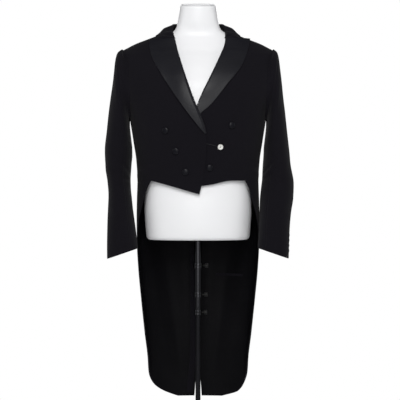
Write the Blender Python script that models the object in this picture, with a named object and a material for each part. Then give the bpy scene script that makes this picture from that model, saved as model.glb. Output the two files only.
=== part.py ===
"""White tie tailcoat on a limbless dress form with a telescoping stand.

Every piece that a maker cuts and sews is one object. Units are metres, +Z is up and the coat's
front faces -Y. The origin is on the floor, under the mast. "Right" and "left" are the wearer's.

The coat's cloth follows one envelope: horizontal sections round the body, from the neck down to
the hem of the tails. A point of it is a height and a turn, the angle round the body from the
front (0) over the wearer's left side (90) to the back (180). Seams and edges are lists of such
points from the hem upward, and each panel is a wall between two of them.
"""
import math
from collections import namedtuple

import bmesh
import bpy
from mathutils import Matrix, Vector

# ---- driving dimensions -------------------------------------------------------------------
CLOTH = 0.0020             # thickness of the coat's cloth
SATIN = 0.0010             # thickness of the tails' lining and its trims
SEAM_GAP = 0.0003          # space between neighbouring pieces
LINING_OUT = -0.0009       # the linings' outer face, off the cloth's inner face
HEM_HEIGHT = 0.3925        # the tails' hem above the floor
WAIST_HEIGHT = 1.056       # the waist seam at the side
UNDERARM = 1.240           # the lowest point of the armholes
ARMHOLE_TOP = 1.4515       # where the shoulder seams meet the sleeves
NECK_POINT = 1.5025        # the shoulder seams' upper end
NAPE = 1.4950              # the neck seam at the centre back
GORGE = 1.4785             # the neck seam at the roll lines
HEM_ARCH = 0.005           # rise of the left forepart's hem over its middle
BREAK_POINT = 1.190        # where the lapels start to turn

FRONT_BUTTON = 0.0095      # radii
CUFF_BUTTON = 0.0064
LINK_BUTTON = 0.0080
FORM_BOTTOM = 0.8815
FORM_EDGE = 0.012          # rounding of the form's lower edge
NECK_TILT = 0.19           # fall of the neck's top toward the front, rise over run

BASE_RADIUS = 0.190
BASE_THICKNESS = 0.008
MAST_SIDES = 24
ROD_RADIUS = 0.0075
MID_RADIUS = 0.0085
UPPER_RADIUS = 0.0102
SLEEVE_RADIUS = 0.0118     # the tube in the form's underside
SLIDE_FIT = 0.0006         # radial clearance between telescoping tubes
ROD_TOP = 0.860
MID_BOTTOM, MID_TOP = 0.656, 0.900
UPPER_BOTTOM, UPPER_TOP = 0.709, 0.950
SLEEVE_BOTTOM, SLEEVE_TOP = 0.796, 0.980
BORE_TOP = 1.140
SLEEVE_BORE = SLEEVE_RADIUS + 0.0005    # the hole in the form's underside


class Table:
    """Rows of named columns, read by their first column, smooth and without overshoot."""

    def __init__(self, names, *rows):
        self.row = namedtuple("Row", names)
        self.keys = [row[0] for row in rows]
        self.columns = list(zip(*rows))
        self.slopes = [self._slopes(column) for column in self.columns]

    def _slopes(self, values):
        keys = self.keys
        steep = [(b - a) / (q - p) for a, b, p, q in zip(values, values[1:], keys, keys[1:])]
        inner = [0.0 if p * q <= 0 else 2 * p * q / (p + q) for p, q in zip(steep, steep[1:])]
        return [steep[0]] + inner + [steep[-1]]

    def __call__(self, key):
        key = min(max(key, self.keys[0]), self.keys[-1])
        low = max(i for i, k in enumerate(self.keys[:-1]) if k <= key)
        span = self.keys[low + 1] - self.keys[low]
        t = (key - self.keys[low]) / span
        weights = ((1 + 2 * t) * (1 - t) ** 2, t * (1 - t) ** 2 * span,
                   t * t * (3 - 2 * t), t * t * (t - 1) * span)
        return self.row(*[
            weights[0] * column[low] + weights[1] * slope[low]
            + weights[2] * column[low + 1] + weights[3] * slope[low + 1]
            for column, slope in zip(self.columns, self.slopes)])


# Sections of the envelope, the inner face of the cloth. front and back are depths from middle.
ENVELOPE = Table(
    "height half_width front back middle roundness",
    (0.385, 0.152, 0.008, 0.054, 0.072, 2.2),
    (0.500, 0.152, 0.010, 0.062, 0.062, 2.2),
    (0.600, 0.161, 0.020, 0.075, 0.048, 2.2),
    (0.700, 0.170, 0.040, 0.092, 0.032, 2.2),
    (0.800, 0.178, 0.080, 0.108, 0.014, 2.2),
    (0.880, 0.1815, 0.108, 0.118, 0.002, 2.2),
    (0.950, 0.1820, 0.112, 0.111, 0.000, 2.2),
    (1.000, 0.1812, 0.110, 0.103, 0.000, 2.2),
    (1.060, 0.1795, 0.109, 0.096, 0.000, 2.25),
    (1.120, 0.1830, 0.115, 0.098, 0.000, 2.3),
    (1.170, 0.1905, 0.123, 0.105, 0.000, 2.35),
    (1.220, 0.1985, 0.129, 0.112, 0.000, 2.35),
    (1.260, 0.2055, 0.130, 0.116, 0.000, 2.3),
    (1.300, 0.2240, 0.128, 0.118, 0.000, 2.25),
    (1.350, 0.2400, 0.119, 0.117, 0.002, 2.2),
    (1.400, 0.2450, 0.099, 0.109, 0.004, 2.1),
    (1.430, 0.2430, 0.083, 0.098, 0.005, 2.05),
    (1.442, 0.2320, 0.075, 0.092, 0.005, 2.0),
    (1.454, 0.2105, 0.068, 0.086, 0.005, 2.0),
    (1.466, 0.1870, 0.062, 0.078, 0.005, 2.0),
    (1.4775, 0.1570, 0.056, 0.068, 0.004, 2.0),
    (1.4900, 0.1230, 0.051, 0.061, 0.002, 2.0),
    (1.4980, 0.1000, 0.048, 0.057, 0.001, 2.0),
    (1.5040, 0.0820, 0.046, 0.055, 0.000, 2.0),
)

# The dress form's own sections, inside the coat and clear of it.
FORM = Table(
    "height half_width front back middle roundness",
    (0.8815, 0.1540, 0.102, 0.098, 0.000, 2.2),
    (0.9250, 0.1580, 0.105, 0.100, 0.000, 2.2),
    (0.9700, 0.1605, 0.104, 0.095, 0.000, 2.2),
    (1.0300, 0.1600, 0.101, 0.089, 0.000, 2.2),
    (1.1000, 0.1660, 0.106, 0.090, 0.000, 2.3),
    (1.1700, 0.1740, 0.116, 0.098, 0.000, 2.35),
    (1.2500, 0.1830, 0.125, 0.110, 0.000, 2.35),
    (1.3200, 0.1880, 0.121, 0.113, 0.000, 2.3),
    (1.3800, 0.1890, 0.104, 0.108, 0.003, 2.2),
    (1.4200, 0.1870, 0.085, 0.096, 0.005, 2.1),
    (1.4400, 0.1845, 0.072, 0.088, 0.005, 2.0),
    (1.4530, 0.1790, 0.066, 0.084, 0.005, 2.0),
    (1.4650, 0.1690, 0.0600, 0.0755, 0.005, 2.0),
    (1.4735, 0.1590, 0.0550, 0.0675, 0.004, 2.0),
    (1.4830, 0.1380, 0.0490, 0.0620, 0.003, 2.0),
    (1.4920, 0.1110, 0.0450, 0.0560, 0.002, 2.0),
    (1.4990, 0.0880, 0.0430, 0.0520, 0.000, 2.0),
    (1.5060, 0.0730, 0.0432, 0.0505, -0.001, 2.0),
    (1.5160, 0.0660, 0.0450, 0.0510, -0.002, 2.0),
    (1.5300, 0.0615, 0.0470, 0.0520, -0.004, 2.0),
    (1.5500, 0.0575, 0.0480, 0.0520, -0.006, 2.0),
    (1.5700, 0.0545, 0.0480, 0.0510, -0.008, 2.0),
    (1.5820, 0.0530, 0.0480, 0.0505, -0.009, 2.0),
)

# The plane of the armhole, as a distance from the centre, at each height.
ARMHOLE = Table("height side", (1.230, 0.1985), (1.260, 0.1985), (1.300, 0.1985),
                (1.380, 0.2030), (1.452, 0.2150), (1.460, 0.2150))

# Sleeves, ring by ring: where the ring is nearest to the body and farthest from it, the middle of
# its depth, and half that depth. The depths give girths of 385 mm at the biceps, 345 mm at the
# elbow and 290 mm at the cuff. seam is the hindarm seam's angle behind the outer point.
SLEEVE_COLUMNS = "inner_x inner_z outer_x outer_z middle half_depth seam"
SleeveRing = namedtuple("SleeveRing", SLEEVE_COLUMNS)
SLEEVE_RIGHT = [SleeveRing(*row) for row in (
    (0.2046, 1.2330, 0.2270, 1.4520, 0.000, 0.0700, 74),
    (0.2046, 1.2240, 0.2400, 1.4420, 0.000, 0.0720, 74),
    (0.2040, 1.2130, 0.2465, 1.4240, 0.000, 0.0735, 74),
    (0.2025, 1.1980, 0.2500, 1.3960, 0.000, 0.0755, 74),
    (0.2000, 1.1780, 0.2545, 1.3550, 0.000, 0.0775, 74),
    (0.1975, 1.1560, 0.2610, 1.3100, 0.000, 0.0780, 74),
    (0.1970, 1.1330, 0.2675, 1.2600, -0.001, 0.0780, 73),
    (0.1990, 1.1100, 0.2730, 1.2060, -0.003, 0.0770, 72),
    (0.2005, 1.0870, 0.2785, 1.1500, -0.006, 0.0750, 71),
    (0.2018, 1.0620, 0.2770, 1.1000, -0.009, 0.0730, 70),
    (0.2008, 1.0360, 0.2700, 1.0550, -0.013, 0.0710, 69),
    (0.1975, 1.0060, 0.2666, 1.0120, -0.019, 0.0680, 68),
    (0.1935, 0.9730, 0.2680, 0.9680, -0.027, 0.0630, 67),
    (0.1880, 0.9370, 0.2690, 0.9210, -0.036, 0.0570, 66),
    (0.1825, 0.8990, 0.2692, 0.8740, -0.045, 0.0510, 64),
    (0.1775, 0.8575, 0.2684, 0.8270, -0.054, 0.0455, 62),
)]
SLEEVE_LEFT = [SleeveRing(*row) for row in (
    (0.2046, 1.2330, 0.2260, 1.4520, 0.000, 0.0700, 74),
    (0.2046, 1.2240, 0.2370, 1.4420, 0.000, 0.0720, 74),
    (0.2040, 1.2130, 0.2420, 1.4240, 0.000, 0.0735, 74),
    (0.2025, 1.1980, 0.2455, 1.3960, 0.000, 0.0755, 73),
    (0.2000, 1.1780, 0.2505, 1.3550, 0.000, 0.0775, 72),
    (0.1975, 1.1560, 0.2550, 1.3100, 0.000, 0.0780, 70),
    (0.1965, 1.1330, 0.2610, 1.2600, -0.001, 0.0780, 67),
    (0.1945, 1.1100, 0.2665, 1.2060, -0.004, 0.0770, 63),
    (0.1930, 1.0870, 0.2725, 1.1500, -0.009, 0.0750, 59),
    (0.1915, 1.0620, 0.2775, 1.1000, -0.015, 0.0730, 54),
    (0.1880, 1.0360, 0.2850, 1.0500, -0.023, 0.0710, 49),
    (0.1845, 1.0060, 0.2830, 1.0060, -0.031, 0.0660, 44),
    (0.1825, 0.9720, 0.2760, 0.9630, -0.039, 0.0610, 40),
    (0.1810, 0.9360, 0.2715, 0.9190, -0.047, 0.0555, 36),
    (0.1790, 0.8990, 0.2692, 0.8740, -0.054, 0.0505, 33),
    (0.1760, 0.8590, 0.2675, 0.8280, -0.060, 0.0460, 30),
)]
ARMHOLE_CENTRE = (0.0, 1.345)    # (y, z) inside the armhole
FOREARM_SEAM = 125         # the front sleeve seam's angle in front of the outer point
SLEEVE_ROUNDNESS = 2.15

# The collar, from its front end (0) to the centre back (1): the fold's turn, radius and height,
# and the outer edge's turn and height on the envelope.
COLLAR = Table(
    "along fold_turn fold_radius fold_height edge_turn edge_height",
    (0.00, 54.5, 0.0852, 1.4802, 76.0, 1.4805),
    (0.08, 63, 0.0815, 1.4900, 80.0, 1.4850),
    (0.18, 76, 0.0775, 1.5080, 85.0, 1.4900),
    (0.30, 90, 0.0735, 1.5240, 92.0, 1.4935),
    (0.55, 122, 0.0710, 1.5310, 126, 1.4890),
    (0.80, 156, 0.0690, 1.5330, 158, 1.4850),
    (1.00, 180, 0.0680, 1.5330, 180, 1.4840),
)
COLLAR_STATIONS = (0, 0.08, 0.16, 0.23, 0.30, 0.37, 0.46, 0.58, 0.72, 0.86)

# How far the wearer's right forepart is carried off the body where it laps over the left one.
OVERLAP_LIFT = Table("height lift", (1.010, 0.0028), (1.090, 0.0028), (1.140, 0.0060),
                     (1.300, 0.0060), (1.425, 0.0))


# ---- the envelope -------------------------------------------------------------------------
def section_point(section, height, turn):
    """The point of a horizontal section at a turn in degrees."""
    angle = math.radians(turn)
    across, ahead = math.sin(angle), math.cos(angle)
    depth = section.front if ahead > 0 else section.back
    power = section.roundness
    reach = (abs(across / section.half_width) ** power
             + abs(ahead / depth) ** power) ** (-1 / power)
    return Vector((reach * across, section.middle - reach * ahead, height))


def envelope(height, turn, out=0.0):
    """A point of the envelope, moved out along its normal."""
    def at(h, t):
        return section_point(ENVELOPE(h), h, t)

    point = at(height, turn)
    if not out:
        return point
    rise, swing = 0.0005, 0.05
    upward = at(height + rise, turn) - at(height - rise, turn)
    around = at(height, turn + swing) - at(height, turn - swing)
    return point + around.cross(upward).normalized() * out


def turn_at(x, height, back=False):
    """The turn where the envelope's section passes x, on the front or on the back."""
    section = ENVELOPE(height)
    ratio = min(abs(x) / section.half_width, 1.0)
    power = section.roundness
    depth = (section.back if back else section.front) * (1 - ratio ** power) ** (1 / power)
    turn = math.degrees(math.atan2(abs(x), depth))
    if back:
        turn = 180 - turn
    return math.copysign(turn, x)


def around(height, turn):
    """A turn as the section's own angle, which spaces points evenly on a flat section."""
    section = ENVELOPE(height)
    angle = math.radians(turn)
    depth = section.front if math.cos(angle) > 0 else section.back
    return math.atan2(math.sin(angle) / section.half_width, math.cos(angle) / depth)


def turn_around(height, angle):
    """The turn for a section's own angle."""
    section = ENVELOPE(height)
    depth = section.front if math.cos(angle) > 0 else section.back
    return math.degrees(math.atan2(math.sin(angle) * section.half_width, math.cos(angle) * depth))


def smooth(value, low, high):
    t = min(max((value - low) / (high - low), 0.0), 1.0)
    return t * t * (3 - 2 * t)


def mix(a, b, t):
    return a + (b - a) * t


def spread(low, high, count):
    return [mix(low, high, i / count) for i in range(count + 1)]


def armhole_turn(height, back=False):
    """The turn of the armhole's edge at a height, for the wearer's left."""
    return turn_at(ARMHOLE(height).side, height, back)


def armhole_radius(angle, centre):
    """How far the armhole's edge is from a centre (y, z), at an angle from the top to the front."""
    low, high = 0.0, 0.2
    for _ in range(40):
        radius = (low + high) / 2
        y = centre[0] - radius * math.sin(angle)
        z = centre[1] + radius * math.cos(angle)
        section = ENVELOPE(z)
        depth = section.front if y < section.middle else section.back
        inside = 1 - (abs(y - section.middle) / depth) ** section.roundness
        width = section.half_width * max(inside, 0.0) ** (1 / section.roundness)
        inside_armhole = width > ARMHOLE(z).side and z > UNDERARM
        low, high = (radius, high) if inside_armhole else (low, radius)
    return low


# ---- seams and edges, as (height, turn) from the hem up, for the wearer's left ------------------
BODY_ROWS = spread(0, 1, 6)
ARM_HEIGHTS = [1.262, 1.285, 1.310, 1.335, 1.360, 1.385, 1.410, 1.428, 1.440, ARMHOLE_TOP]
SHOULDER_HEIGHTS = [1.464, 1.479, 1.492, NECK_POINT]
SIDE_TURN = 78             # the side seam under the arm


def side_seam():
    return [(mix(WAIST_HEIGHT, 1.246, t), mix(74, SIDE_TURN, t)) for t in BODY_ROWS]


def forepart_back_edge():
    arm = [(z, armhole_turn(z)) for z in ARM_HEIGHTS]
    return side_seam() + arm + [(z, 89.85) for z in SHOULDER_HEIGHTS]


# The wearer's right front edge, roll line and neck seam: height and x toward the wearer's left.
RIGHT_FRONT = Table("height x", (1.0165, 0.0035), (1.042, 0.0100), (1.090, 0.0190), (1.150, 0.0234),
                    (BREAK_POINT, 0.0240), (1.250, 0.0070), (1.2755, -0.0043), (1.348, -0.0313),
                    (1.409, -0.0508), (1.4395, -0.0595), (GORGE, -0.0680))
LEFT_FRONT = Table("height x", (1.0370, -0.020), (1.090, -0.0240), (BREAK_POINT, -0.0243),
                   (1.2755, -0.0020), (1.294, 0.0048), (1.319, 0.0160), (1.348, 0.0305), (1.409, 0.0585),
                   (1.4395, 0.0712), (1.458, 0.0772), (GORGE, 0.0806))
LAPEL_ROWS = 14
LAPEL_GAP = 0.0007


def front_edge(table, side):
    """The forepart's front edge with a row for each row of its back edge."""
    lower = spread(table.keys[0], 1.246, len(BODY_ROWS) - 1)
    upper = spread(ARMHOLE_TOP, GORGE, len(SHOULDER_HEIGHTS))[1:]
    return [(z, side * turn_at(table(z).x, z)) for z in lower + ARM_HEIGHTS + upper]


# The lapels' outer edges: height and distance from the centre, from the break point to the peak.
RIGHT_LAPEL = Table("height x", (BREAK_POINT, 0.0215), (1.225, -0.0080), (1.268, -0.0406),
                    (1.345, -0.0937), (1.385, -0.1170), (1.419, -0.1348), (1.450, -0.1420),
                    (1.4700, -0.1428))
LEFT_LAPEL = Table("height x", (BREAK_POINT, -0.0220), (1.2503, 0.0080), (1.274, 0.0348),
                   (1.3408, 0.0884), (1.384, 0.1222), (1.4277, 0.1421), (1.452, 0.1490),
                   (1.4740, 0.1530))

# The side-back seam and, under the waist, the pleat: distance from the centre at each height.
BACK_SEAM = Table("height x", (0.385, 0.052), (0.700, 0.047), (0.950, 0.041), (1.030, 0.040),
                  (1.080, 0.050), (1.150, 0.083), (1.220, 0.124), (1.280, 0.163), (1.330, 0.199))
BACK_WAIST = 1.040
SKIRT_TURN = 60            # where the skirts' front edges start at the waist
ARMHOLE_BACK = 1.330       # where the side-back seam meets the armhole
SKIRT_HEIGHTS = [HEM_HEIGHT, 0.3975, 0.408, 0.423, 0.440, 0.475, 0.510, 0.550, 0.600, 0.650, 0.700,
                 0.750, 0.800, 0.850, 0.895, 0.935, 0.965, 0.995, 1.022, BACK_WAIST]


def waist_height(turn):
    """The waist seam: level under the forepart, falling over the side body to the back."""
    pleat_turn = turn_at(BACK_SEAM(BACK_WAIST).x, BACK_WAIST, back=True)
    return mix(WAIST_HEIGHT, BACK_WAIST, min(max((turn - 74) / (pleat_turn - 74), 0), 1))


def waist_turn(u):
    """The turn along the side body's lower edge, from the side seam to the pleat."""
    pleat_turn = turn_at(BACK_SEAM(BACK_WAIST).x, BACK_WAIST, back=True)
    height = mix(WAIST_HEIGHT, BACK_WAIST, u)
    return turn_around(height, mix(around(WAIST_HEIGHT, 74), around(BACK_WAIST, pleat_turn), u))


def side_back_seam():
    return [(z, turn_at(BACK_SEAM(z).x, z, back=True))
            for z in [mix(BACK_WAIST, ARMHOLE_BACK, t) for t in BODY_ROWS]]


def pleat():
    return [(z, turn_at(BACK_SEAM(z).x, z, back=True)) for z in SKIRT_HEIGHTS]


# The vent's edges: how far each tail reaches from the centre toward its own side.
VENT = Table("height gap", (0.385, 0.0122), (0.440, 0.0080), (0.500, 0.0020), (0.540, 0.00015),
             (1.100, 0.00015))


def back_centre():
    tail = [(z, turn_at(VENT(z).gap, z, back=True)) for z in SKIRT_HEIGHTS]
    body = [mix(BACK_WAIST, ARMHOLE_BACK, t) for t in BODY_ROWS[1:]]
    upper = spread(ARMHOLE_BACK, NAPE, 8)[1:]
    return tail + [(z, turn_at(0.00015, z, back=True)) for z in body + upper]


def back_outer():
    arm = [(z, armhole_turn(z, back=True)) for z in (1.360, 1.392, 1.425, ARMHOLE_TOP)]
    return pleat() + side_back_seam()[1:] + arm + [(z, 90.15) for z in SHOULDER_HEIGHTS]


# The skirts' front edges: the turn at each height, past the side and round the hem's corner.
SKIRT_EDGE = Table("height turn", (HEM_HEIGHT, 129), (0.3975, 122), (0.408, 112), (0.423, 104.5),
                   (0.440, 100), (0.475, 95), (0.510, 93), (0.600, 92), (0.800, 90), (0.895, 85),
                   (0.950, 77), (1.000, 70.5), (1.020, 68), (1.040, 65), (WAIST_HEIGHT, 61.5))

HEM_SKEW = Table("height left right", (HEM_HEIGHT, 5.0, 0.5), (0.408, 4.5, 1.5), (0.423, 1.5, 1.5),
                 (0.440, 0, 1.0), (0.475, 0, 0))


def skirt_front(side):
    """The skirt's front edge; the left skirt's hem corner is the squarer one."""
    label = "left" if side > 0 else "right"
    last = len(SKIRT_HEIGHTS) - 1
    rise = (WAIST_HEIGHT - BACK_WAIST) / 4
    heights = [z + rise * max(i - last + 4, 0) for i, z in enumerate(SKIRT_HEIGHTS)]
    return [(z, SKIRT_EDGE(z).turn - side * getattr(HEM_SKEW(z), label))
            for z in heights]


# ---- building solids ----------------------------------------------------------------------
def new_object(name, mesh_data, material):
    mesh = bpy.data.meshes.new(name)
    mesh_data.to_mesh(mesh)
    mesh_data.free()
    mesh.materials.append(material)
    mesh.shade_smooth()
    mesh.set_sharp_from_angle(angle=math.radians(35))
    item = bpy.data.objects.new(name, mesh)
    bpy.context.collection.objects.link(item)
    return item


def wall(name, grid, material, ring=False):
    """A closed wall from a grid of (inner, outer) points; ring closes the rows on themselves."""
    work = bmesh.new()
    layers = [[[work.verts.new(pair[side]) for pair in row] for row in grid] for side in (0, 1)]
    inner, outer = layers
    rows, columns = len(grid), len(grid[0])
    steps = range(columns if ring else columns - 1)
    for i in range(rows - 1):
        for j in steps:
            k = (j + 1) % columns
            work.faces.new((outer[i][j], outer[i][k], outer[i + 1][k], outer[i + 1][j]))
            work.faces.new((inner[i][j], inner[i + 1][j], inner[i + 1][k], inner[i][k]))
    for i in (0, rows - 1):
        for j in steps:
            k = (j + 1) % columns
            work.faces.new((inner[i][j], inner[i][k], outer[i][k], outer[i][j]))
    if not ring:
        for j in (0, columns - 1):
            for i in range(rows - 1):
                work.faces.new((inner[i][j], outer[i][j], outer[i + 1][j], inner[i + 1][j]))
    bmesh.ops.recalc_face_normals(work, faces=work.faces)
    if work.calc_volume(signed=True) < 0:
        bmesh.ops.reverse_faces(work, faces=work.faces)
    return new_object(name, work, material)


def envelope_panel(name, near, far, columns, material, side, low=0.0, high=CLOTH, lift=None,
                   heights=None, middle=None, middle_columns=0):
    """A wall between two edges of the envelope, for one side of the body.

    low and high are the wall's faces off the envelope. lift(height, x) moves both out.
    heights(row, u, height, turn) may bend a row. A row runs through its point of middle, if there
    is one, with middle_columns after it."""
    grid = []
    for row, (start, end) in enumerate(zip(near, far)):
        line = []
        spans = [(start, end, columns)]
        if middle:
            spans = [(start, middle[row], columns), (middle[row], end, middle_columns)]
        for (z0, turn0), (z1, turn1), count in spans:
            for u in spread(0, 1, count)[1 if line else 0:]:
                height = mix(z0, z1, u)
                turn = turn_around(height, mix(around(z0, turn0), around(z1, turn1), u))
                if heights:
                    height = heights(row, u, height, turn)
                raised = lift(height, envelope(height, side * turn).x) if lift else 0.0
                line.append([envelope(height, side * turn, out + raised) for out in (low, high)])
        grid.append(line)
    return wall(name, grid, material)


def narrowed(near, far, gap=SEAM_GAP / 2):
    """Two edges moved toward each other by half a seam's gap."""
    moved = []
    for (z0, turn0), (z1, turn1) in zip(near, far):
        step = math.degrees(gap / 0.10)
        ahead = math.copysign(step, turn1 - turn0)
        moved.append(((z0, turn0 + ahead), (z1, turn1 - ahead)))
    return [pair[0] for pair in moved], [pair[1] for pair in moved]


def turned(name, profile, sides, material):
    """A solid of revolution about Z from (radius, height) pairs; a radius of 0 closes an end."""
    work = bmesh.new()
    rings = []
    for radius, height in profile:
        if radius == 0:
            rings.append([work.verts.new((0, 0, height))])
        else:
            rings.append([work.verts.new((radius * math.cos(2 * math.pi * k / sides),
                                          radius * math.sin(2 * math.pi * k / sides), height))
                          for k in range(sides)])
    open_profile = profile[0][0] == 0
    pairs = list(zip(rings, rings[1:])) if open_profile else list(zip(rings, rings[1:] + rings[:1]))
    for low, high in pairs:
        for k in range(sides):
            n = (k + 1) % sides
            corners = (low[k % len(low)], low[n % len(low)],
                       high[n % len(high)], high[k % len(high)])
            work.faces.new(list(dict.fromkeys(corners)))
    bmesh.ops.recalc_face_normals(work, faces=work.faces)
    if work.calc_volume(signed=True) < 0:
        bmesh.ops.reverse_faces(work, faces=work.faces)
    return new_object(name, work, material)


def tube(name, outer, inner, low, high, material):
    return turned(name, [(outer, low), (outer, high), (inner, high), (inner, low)], MAST_SIDES,
                  material)


def stand_up(item, place, normal):
    """Put an object built about Z at a place, with Z along the normal."""
    turn = normal.to_track_quat("Z", "Y").to_matrix().to_4x4()
    item.matrix_world = Matrix.Translation(place) @ turn


# ---- materials ----------------------------------------------------------------------------
def paint(name, colour, roughness, metallic=0.0):
    material = bpy.data.materials.new(name)
    material.use_nodes = True
    shader = material.node_tree.nodes["Principled BSDF"]
    shader.inputs["Base Color"].default_value = (*colour, 1)
    shader.inputs["Roughness"].default_value = roughness
    shader.inputs["Metallic"].default_value = metallic
    material.diffuse_color = (*colour, 1)
    return material


# ---- the coat -----------------------------------------------------------------------------
def right_lift(height, x):
    """How far the right forepart is carried off the body where it laps over the left one."""
    return OVERLAP_LIFT(height).lift * smooth(x, -0.100, -0.040)


def no_lift(height, x):
    return 0.0


def make_foreparts(cloth):
    for side, table, lift, label in ((-1, RIGHT_FRONT, right_lift, "right"),
                                     (1, LEFT_FRONT, no_lift, "left")):
        near, far = narrowed(front_edge(table, side), forepart_back_edge())
        tip_height, tip_turn = near[0]

        def hem(row, u, height, turn, side=side, tip_height=tip_height, tip_turn=tip_turn):
            reached = min((turn - tip_turn) / (SKIRT_TURN - tip_turn), 1)
            level = mix(tip_height, WAIST_HEIGHT, max(reached, 0) ** 1.15)
            if side > 0:
                level += HEM_ARCH * math.exp(-((turn - 42) / 14) ** 2)
            return height + (level - mix(tip_height, WAIST_HEIGHT, u)) * max(1 - row / 4, 0)

        envelope_panel(f"forepart_{label}", near, far, 8, cloth, side, lift=lift, heights=hem)


def make_side_bodies(cloth):
    """The panels under the arms, whose top edge is the armhole's lower part."""
    def underarm(row, u, height, turn):
        low, high = UNDERARM - 0.002, ARMHOLE_BACK + 0.002
        for _ in range(30):
            middle = (low + high) / 2
            outside = envelope(middle, turn).x > ARMHOLE(middle).side
            low, high = (low, middle) if outside else (middle, high)
        top = min(mix(1.246, ARMHOLE_BACK, u), low - 0.0026)
        level = height + (top - mix(1.246, ARMHOLE_BACK, u)) * (row / 6) ** 2
        waist = waist_height(waist_turn(u)) + SEAM_GAP / 2
        return level + (waist - mix(WAIST_HEIGHT, BACK_WAIST, u)) * max(1 - row / 3, 0)

    for side, label in ((-1, "right"), (1, "left")):
        near, far = narrowed(side_seam(), side_back_seam())
        envelope_panel(f"side_body_{label}", near, far, 6, cloth, side, heights=underarm)


def make_backs(cloth):
    for side, label in ((-1, "right"), (1, "left")):
        near, far = narrowed(back_centre(), back_outer())
        envelope_panel(f"back_{label}", near, far, 5, cloth, side)


def skirt_top(row, u, height, turn):
    """Bend the skirt's upper rows to the waist seam."""
    last = len(SKIRT_HEIGHTS) - 1
    top = waist_height(turn) - 1.5 * SEAM_GAP
    return height + (top - mix(WAIST_HEIGHT, BACK_WAIST, u)) * max(1 - (last - row) / 4, 0)


def make_skirts(cloth, satin):
    """The tails' outer parts, and the lining and trims inside the tails."""
    for side, label in ((-1, "right"), (1, "left")):
        near, far = narrowed(skirt_front(side), pleat())
        envelope_panel(f"skirt_{label}", near, far, 7, cloth, side, heights=skirt_top)
        shown = slice(1, 17)
        front = [(z, turn + 1.5) for z, turn in skirt_front(side)[shown]]
        vent = [(z, turn_at(VENT(z).gap + 0.004, z, back=True)) for z in SKIRT_HEIGHTS[shown]]
        envelope_panel(f"tail_lining_{label}", front, vent, 7, satin, side, LINING_OUT - SATIN,
                       LINING_OUT, middle=pleat()[shown], middle_columns=5)


def make_tail_trims(cloth):
    """The facing down the vent of the right tail, and the pocket's mouth in the left tail."""
    heights = [z + 0.006 for z in SKIRT_HEIGHTS[1:14]]
    high = LINING_OUT - SATIN - 0.0007
    low = high - SATIN
    near = [(z, turn_at(VENT(z).gap + 0.0245, z, back=True)) for z in heights]
    far = [(z, turn_at(VENT(z).gap + 0.0055, z, back=True)) for z in heights]
    envelope_panel("vent_facing_right", near, far, 2, cloth, -1, low, high)
    mouth = [(z, [turn_at(x, z, back=True) for x in (0.055, 0.140)]) for z in (0.7655, 0.7735)]
    envelope_panel("pocket_mouth_left", [(z, turns[1]) for z, turns in mouth],
                   [(z, turns[0]) for z, turns in mouth], 5, cloth, 1, low, high)


def lapel_lift(side):
    """How far a lapel stands off its forepart: a soft roll, most at its middle and its peak."""
    roll, edge = (RIGHT_FRONT, RIGHT_LAPEL) if side < 0 else (LEFT_FRONT, LEFT_LAPEL)

    def lift(height, x):
        inside, outside = roll(min(height, GORGE)).x, edge(height).x
        u = min(max((x - inside) / (outside - inside), 0.0), 1.0)
        start = BREAK_POINT if side < 0 else 1.278
        belly = math.sin(math.pi * min(max((height - start) / (1.41 - start), 0.0), 1.0))
        rise = 0.0030 * u * max(belly, 0.0) + 0.0035 * u * smooth(height, 1.42, 1.47)
        base = right_lift(height, x) if side < 0 else 0.0
        return base + rise
    return lift


def make_lapels(satin):
    for side, roll, edge, label in ((-1, RIGHT_FRONT, RIGHT_LAPEL, "right"),
                                    (1, LEFT_FRONT, LEFT_LAPEL, "left")):
        top = edge.keys[-1]
        near = [(z, side * turn_at(roll(z).x, z)) for z in spread(1.193, GORGE - 0.001, LAPEL_ROWS)]
        far = [(z, side * turn_at(edge(z).x, z)) for z in spread(1.193, top, LAPEL_ROWS)]
        envelope_panel(f"lapel_{label}", near, far, 7, satin, side, CLOTH + LAPEL_GAP,
                       2 * CLOTH + LAPEL_GAP + 0.0002, lift=lapel_lift(side))


def off_coat(point, clearance):
    """The point, moved out to be clear of the coat where the collar lies on it."""
    if point.z > ENVELOPE.keys[-1]:
        return point
    turn = math.degrees(math.atan2(point.x, ENVELOPE(point.z).middle - point.y))
    surface = envelope(point.z, turn, clearance)
    return point if point.xy.length > surface.xy.length else surface


def neck_seam_height(turn, front_turn):
    """The height of the forepart's neck seam at a turn."""
    low, high = 0.0, 1.0
    for _ in range(24):
        u = (low + high) / 2
        height = mix(GORGE, NECK_POINT, u)
        reached = turn_around(height, mix(around(GORGE, front_turn),
                                          around(NECK_POINT, 89.85), u))
        low, high = (u, high) if reached < turn else (low, u)
    return mix(GORGE, NECK_POINT, low)


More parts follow.
